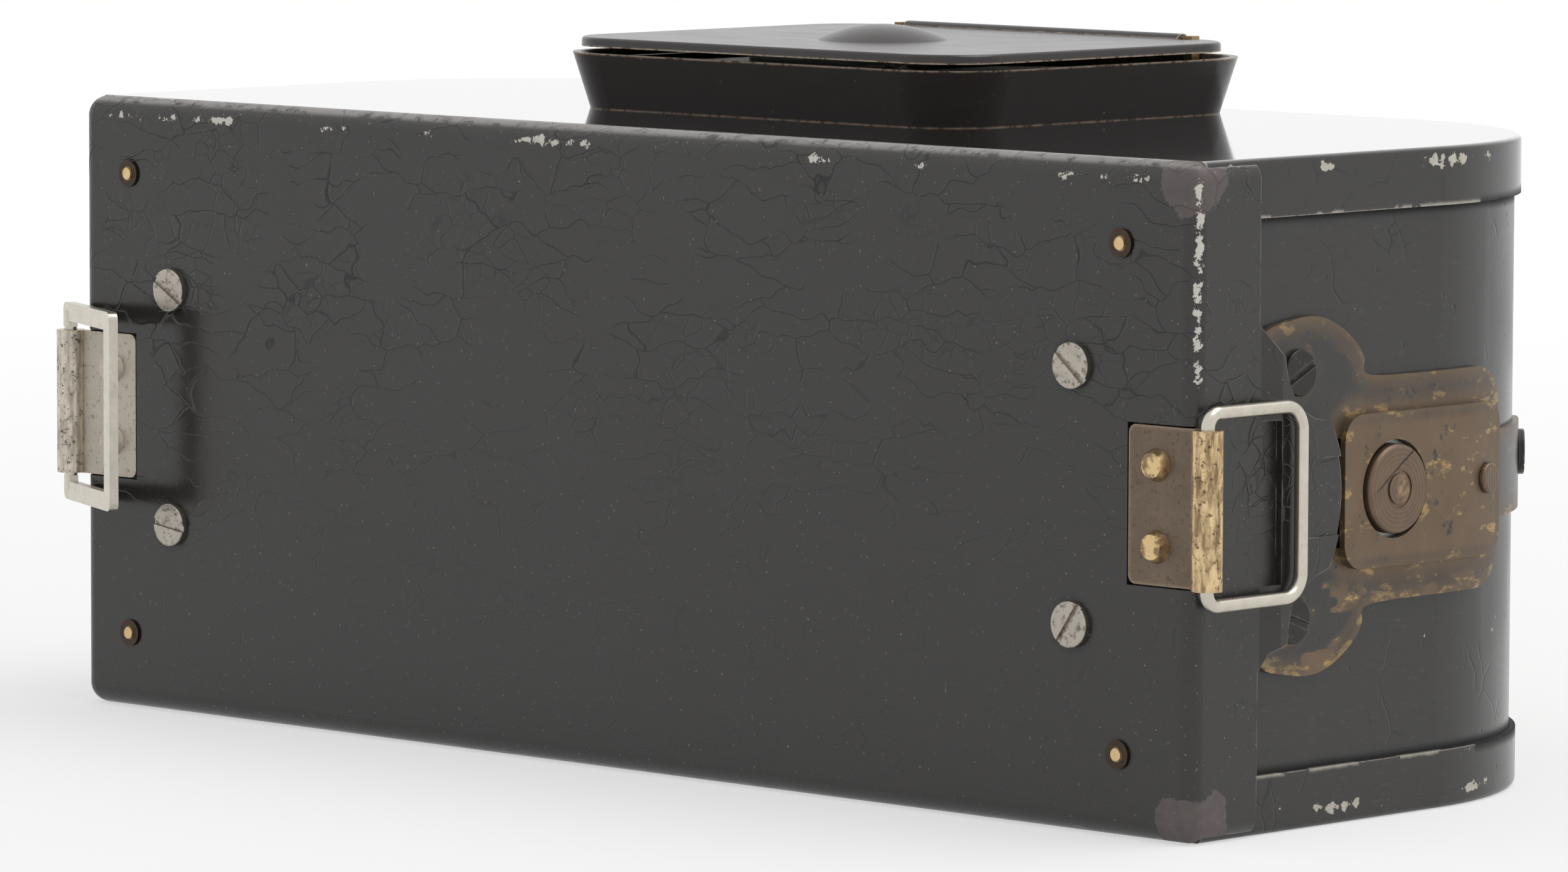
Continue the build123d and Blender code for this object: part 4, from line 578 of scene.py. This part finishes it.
def clear_glass(name, tint, rough=0.02):
    """Glass with a breath of haze, or ground glass where it is rough."""
    f = Finish(name, Roughness=rough, Transmission_Weight=1.0, IOR=1.52)
    haze = f.noise(6.0, 3.0)
    f.feed("Base Color", f.mixed(haze, tint, tuple(part * 0.96 for part in tint)))
    f.feed("Roughness", rough + haze * 0.02)
    return f.material


def silvered():
    """Mirror silvering with a few brown spots."""
    f = Finish("silvered", Metallic=1.0, Roughness=0.04)
    spots = f.ramp(f.noise(2.5, 4.0, 0.6), 0.62, 0.7)
    f.feed("Base Color", f.mixed(spots * 0.5, (0.86, 0.87, 0.86), (0.35, 0.30, 0.24)))
    f.feed("Roughness", 0.04 + spots * 0.2)
    return f.material


finishes = {
    "crackled": crackled_enamel(),
    "body": body_enamel("body_enamel", 0.26, 0.46, 0.68),
    "cover": body_enamel("cover_enamel", 0.07, 0.50, 0.10),
    "hood": hood_enamel(),
    "latch": latch_brass(),
    "lug": lug_metal("lug_brass", *LUG_BRASS),
    "nickel_lug": lug_metal("lug_nickel", *LUG_NICKEL),
    "rivet": rivet_brass(),
    "nickel_screw": nickel("nickel_screw", (0.50, 0.46, 0.40), 0.3, 0.75),
    "nickel_wire": nickel("nickel_wire", (0.70, 0.66, 0.56), 0.24, 0.15),
    "nickel_turned": nickel("nickel_turned", (0.60, 0.57, 0.50), 0.25, 0.3),
    "button": button_brass(),
    "brass": turned_brass("turned_brass", (0.20, 0.14, 0.075), (0.42, 0.30, 0.15), 0.3),
    "eyelet": eyelet_brass(),
    "steel": plain_steel("plain_steel", (0.42, 0.41, 0.39), 0.32),
    "black_screw": black_screw(),
    "glass": clear_glass("lens_glass", (0.93, 0.96, 0.98)),
    "plate_glass": clear_glass("plate_glass", (0.86, 0.93, 0.90)),
    "ground": clear_glass("ground_glass", (0.90, 0.92, 0.90), 0.45),
    "silver": silvered(),
}

finish_of = {
    "crackled": ["rear_cover"],
    "body": ["body_shell", "base_cover", "lens_board", "shutter_housing", "light_trap_frame"],
    "cover": ["top_cover"],
    "hood": ["hood_frame", "hood_front_leaf", "hood_rear_leaf", "hood_left_leaf", "hood_right_leaf",
             "magnifier_frame", "film_gate", "mirror_box", "mirror_holder", "plate_sheath", "lens_sleeve",
             "glass_retainer"],
    "latch": ["latch_plate_right", "latch_plate_left"],
    "lug": ["lug_plate_right"],
    "nickel_lug": ["lug_plate_left"],
    "rivet": ["lug_rivets"],
    "nickel_screw": ["cover_screws", "pivot_screws"],
    "nickel_wire": ["strap_bail_right", "strap_bail_left"],
    "nickel_turned": ["speed_dial", "aperture_lever", "cocking_lever", "release_lever", "focus_knob"],
    "button": ["latch_button_right", "latch_button_left", "latch_pins"],
    "brass": ["taking_lens_barrel_right", "taking_lens_barrel_left", "viewing_lens_barrel", "hood_hinge_pins",
              "tripod_bush", "focus_racks", "focus_pinions", "shaft_bearings", "guide_bushes"],
    "eyelet": ["cover_rivets"],
    "steel": ["latch_spring_right", "latch_spring_left", "pressure_plate", "pressure_springs", "guide_rods",
              "focus_shaft"],
    "black_screw": ["latch_screws"],
    "glass": ["taking_lens_glass", "viewing_lens_glass", "magnifier_lens"],
    "plate_glass": ["glass_plate"],
    "ground": ["ground_glass"],
    "silver": ["mirror"],
}
for look, names in finish_of.items():
    for name in names:
        slots = nodes[name].data.materials
        slots.clear()
        slots.append(finishes[look])


# ------------------------------------------------------------------ solder by the right-hand lug
# where the lower part of a bead starts, how far it hangs down and how wide it is, as shares of the bead
DRIP_START = 0.28
DRIP_LENGTH = 0.35
DRIP_WIDTH = 0.6
BEAD_UPPER = (1.3 * MM, 1.0 * MM, 1.5 * MM)
BEAD_LOWER = (1.5 * MM, 0.9 * MM, 1.1 * MM)


def solder_bead(name, middle, size):
    """Lump of painted-over solder where the lug's frame is fixed behind the fold."""
    bpy.ops.object.select_all(action="DESELECT")
    bpy.ops.mesh.primitive_uv_sphere_add(segments=16, ring_count=10, radius=0.5, location=middle)
    bead = bpy.context.object
    bead.name = name
    bead.scale = size
    bpy.ops.object.transform_apply(location=True, rotation=True, scale=True)
    bpy.ops.object.mode_set(mode="EDIT")
    bpy.ops.mesh.select_mode(type="FACE")
    bpy.ops.mesh.select_all(action="DESELECT")
    bpy.ops.object.mode_set(mode="OBJECT")
    for face in bead.data.polygons:
        face.select = face.center.z < middle.z - DRIP_START * size[2]
    bpy.ops.object.mode_set(mode="EDIT")
    bpy.ops.transform.translate(value=(0.0, 0.0, -DRIP_LENGTH * size[2]))
    bpy.ops.transform.resize(value=(DRIP_WIDTH, DRIP_WIDTH, 1.0), center_override=middle)
    bpy.ops.object.mode_set(mode="OBJECT")
    smooth = bead.modifiers.new("smooth", "SUBSURF")
    smooth.levels = 1
    smooth.render_levels = 1
    bpy.ops.object.modifier_apply(modifier="smooth")
    bpy.ops.object.shade_smooth()
    bead.data.materials.append(finishes["crackled"])
    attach(bead, "rear_cover")


bead_x = lip_high.x - 1.4 * MM
bead_y = back_face + 0.35 * MM
above_lug = Vector((bead_x, bead_y, lug_high.z + BEAD_UPPER[2]))
below_lug = Vector((bead_x, bead_y, lug_low.z - BEAD_LOWER[2]))
solder_bead("solder_bead_upper", above_lug, BEAD_UPPER)
solder_bead("solder_bead_lower", below_lug, BEAD_LOWER)


# ------------------------------------------------------------------ studio
WHITE = (1.0, 1.0, 1.0, 1.0)
SKY_STRENGTH = 0.62
SOFTBOX_PLACE = Vector((0.55, 0.5, 1.7))
SOFTBOX_WIDTH = 1.5
SOFTBOX_HEIGHT = 1.1
SOFTBOX_WATTS = 14.0
FLOOR_SPAN = 8.0
FLOOR_GAP = 0.05 * MM
PAPER = (0.93, 0.93, 0.925, 1.0)
# the paper glows from this share close by to the whole at the farther distance
GLOW_SHARE = 0.55
GLOW_NEAR = 0.10
GLOW_FAR = 0.55


def seen_directly(network):
    """1 for rays from the camera, off glossy surfaces or through glass."""
    kinds = ("Is Camera Ray", "Is Glossy Ray", "Is Transmission Ray")
    first, second, third = (network.node("ShaderNodeLightPath", {}, {}, kind) for kind in kinds)
    return first.top(second).top(third)


def light_surroundings():
    """White surroundings that give less light than they show."""
    world = bpy.data.worlds.new("studio")
    bpy.context.scene.world = world
    world.use_nodes = True
    light = world.node_tree.nodes["Background"]
    light.inputs["Color"].default_value = WHITE
    light.inputs["Strength"].default_value = SKY_STRENGTH
    sky = Network(world.node_tree)
    shown = sky.node("ShaderNodeBackground", {}, {"Color": WHITE, "Strength": 1.0})
    shaders = {"Fac": seen_directly(sky), 1: Channel(sky, light.outputs[0]), 2: shown}
    sky.surface(sky.node("ShaderNodeMixShader", {}, shaders), "World Output")


def hang_softbox():
    """Large lamp above and in front of the object, aimed at its middle."""
    lamp = bpy.data.lights.new("softbox", "AREA")
    lamp.shape = "RECTANGLE"
    lamp.size = SOFTBOX_WIDTH
    lamp.size_y = SOFTBOX_HEIGHT
    lamp.energy = SOFTBOX_WATTS
    softbox = bpy.data.objects.new("softbox", lamp)
    bpy.context.scene.collection.objects.link(softbox)
    softbox.location = SOFTBOX_PLACE
    softbox.rotation_euler = (-SOFTBOX_PLACE).to_track_quat("-Z", "Y").to_euler()


def lay_floor():
    """White paper that whitens away from the object wherever it is seen."""
    level = min(0.0, cad_low.z) - FLOOR_GAP
    bpy.ops.mesh.primitive_plane_add(size=FLOOR_SPAN, location=(0, 0, level))
    bpy.ops.object.transform_apply(location=True, rotation=True, scale=True)
    floor = bpy.context.object
    floor.name = "floor"
    paper = Finish("floor_paper", Base_Color=PAPER, Roughness=0.85, Specular_IOR_Level=0.1)
    away_from_middle = paper.vector("LENGTH", {0: paper.place()}, "Value")
    share = paper.ramp(away_from_middle, GLOW_NEAR, GLOW_FAR, GLOW_SHARE) * seen_directly(paper)
    glow = paper.node("ShaderNodeEmission", {}, {"Color": WHITE})
    shaders = {"Fac": share, 1: Channel(paper, paper.shader.outputs[0]), 2: glow}
    paper.surface(paper.node("ShaderNodeMixShader", {}, shaders), "Material Output")
    floor.data.materials.append(paper.material)


bpy.context.scene.view_settings.view_transform = "Standard"
light_surroundings()
hang_softbox()
lay_floor()
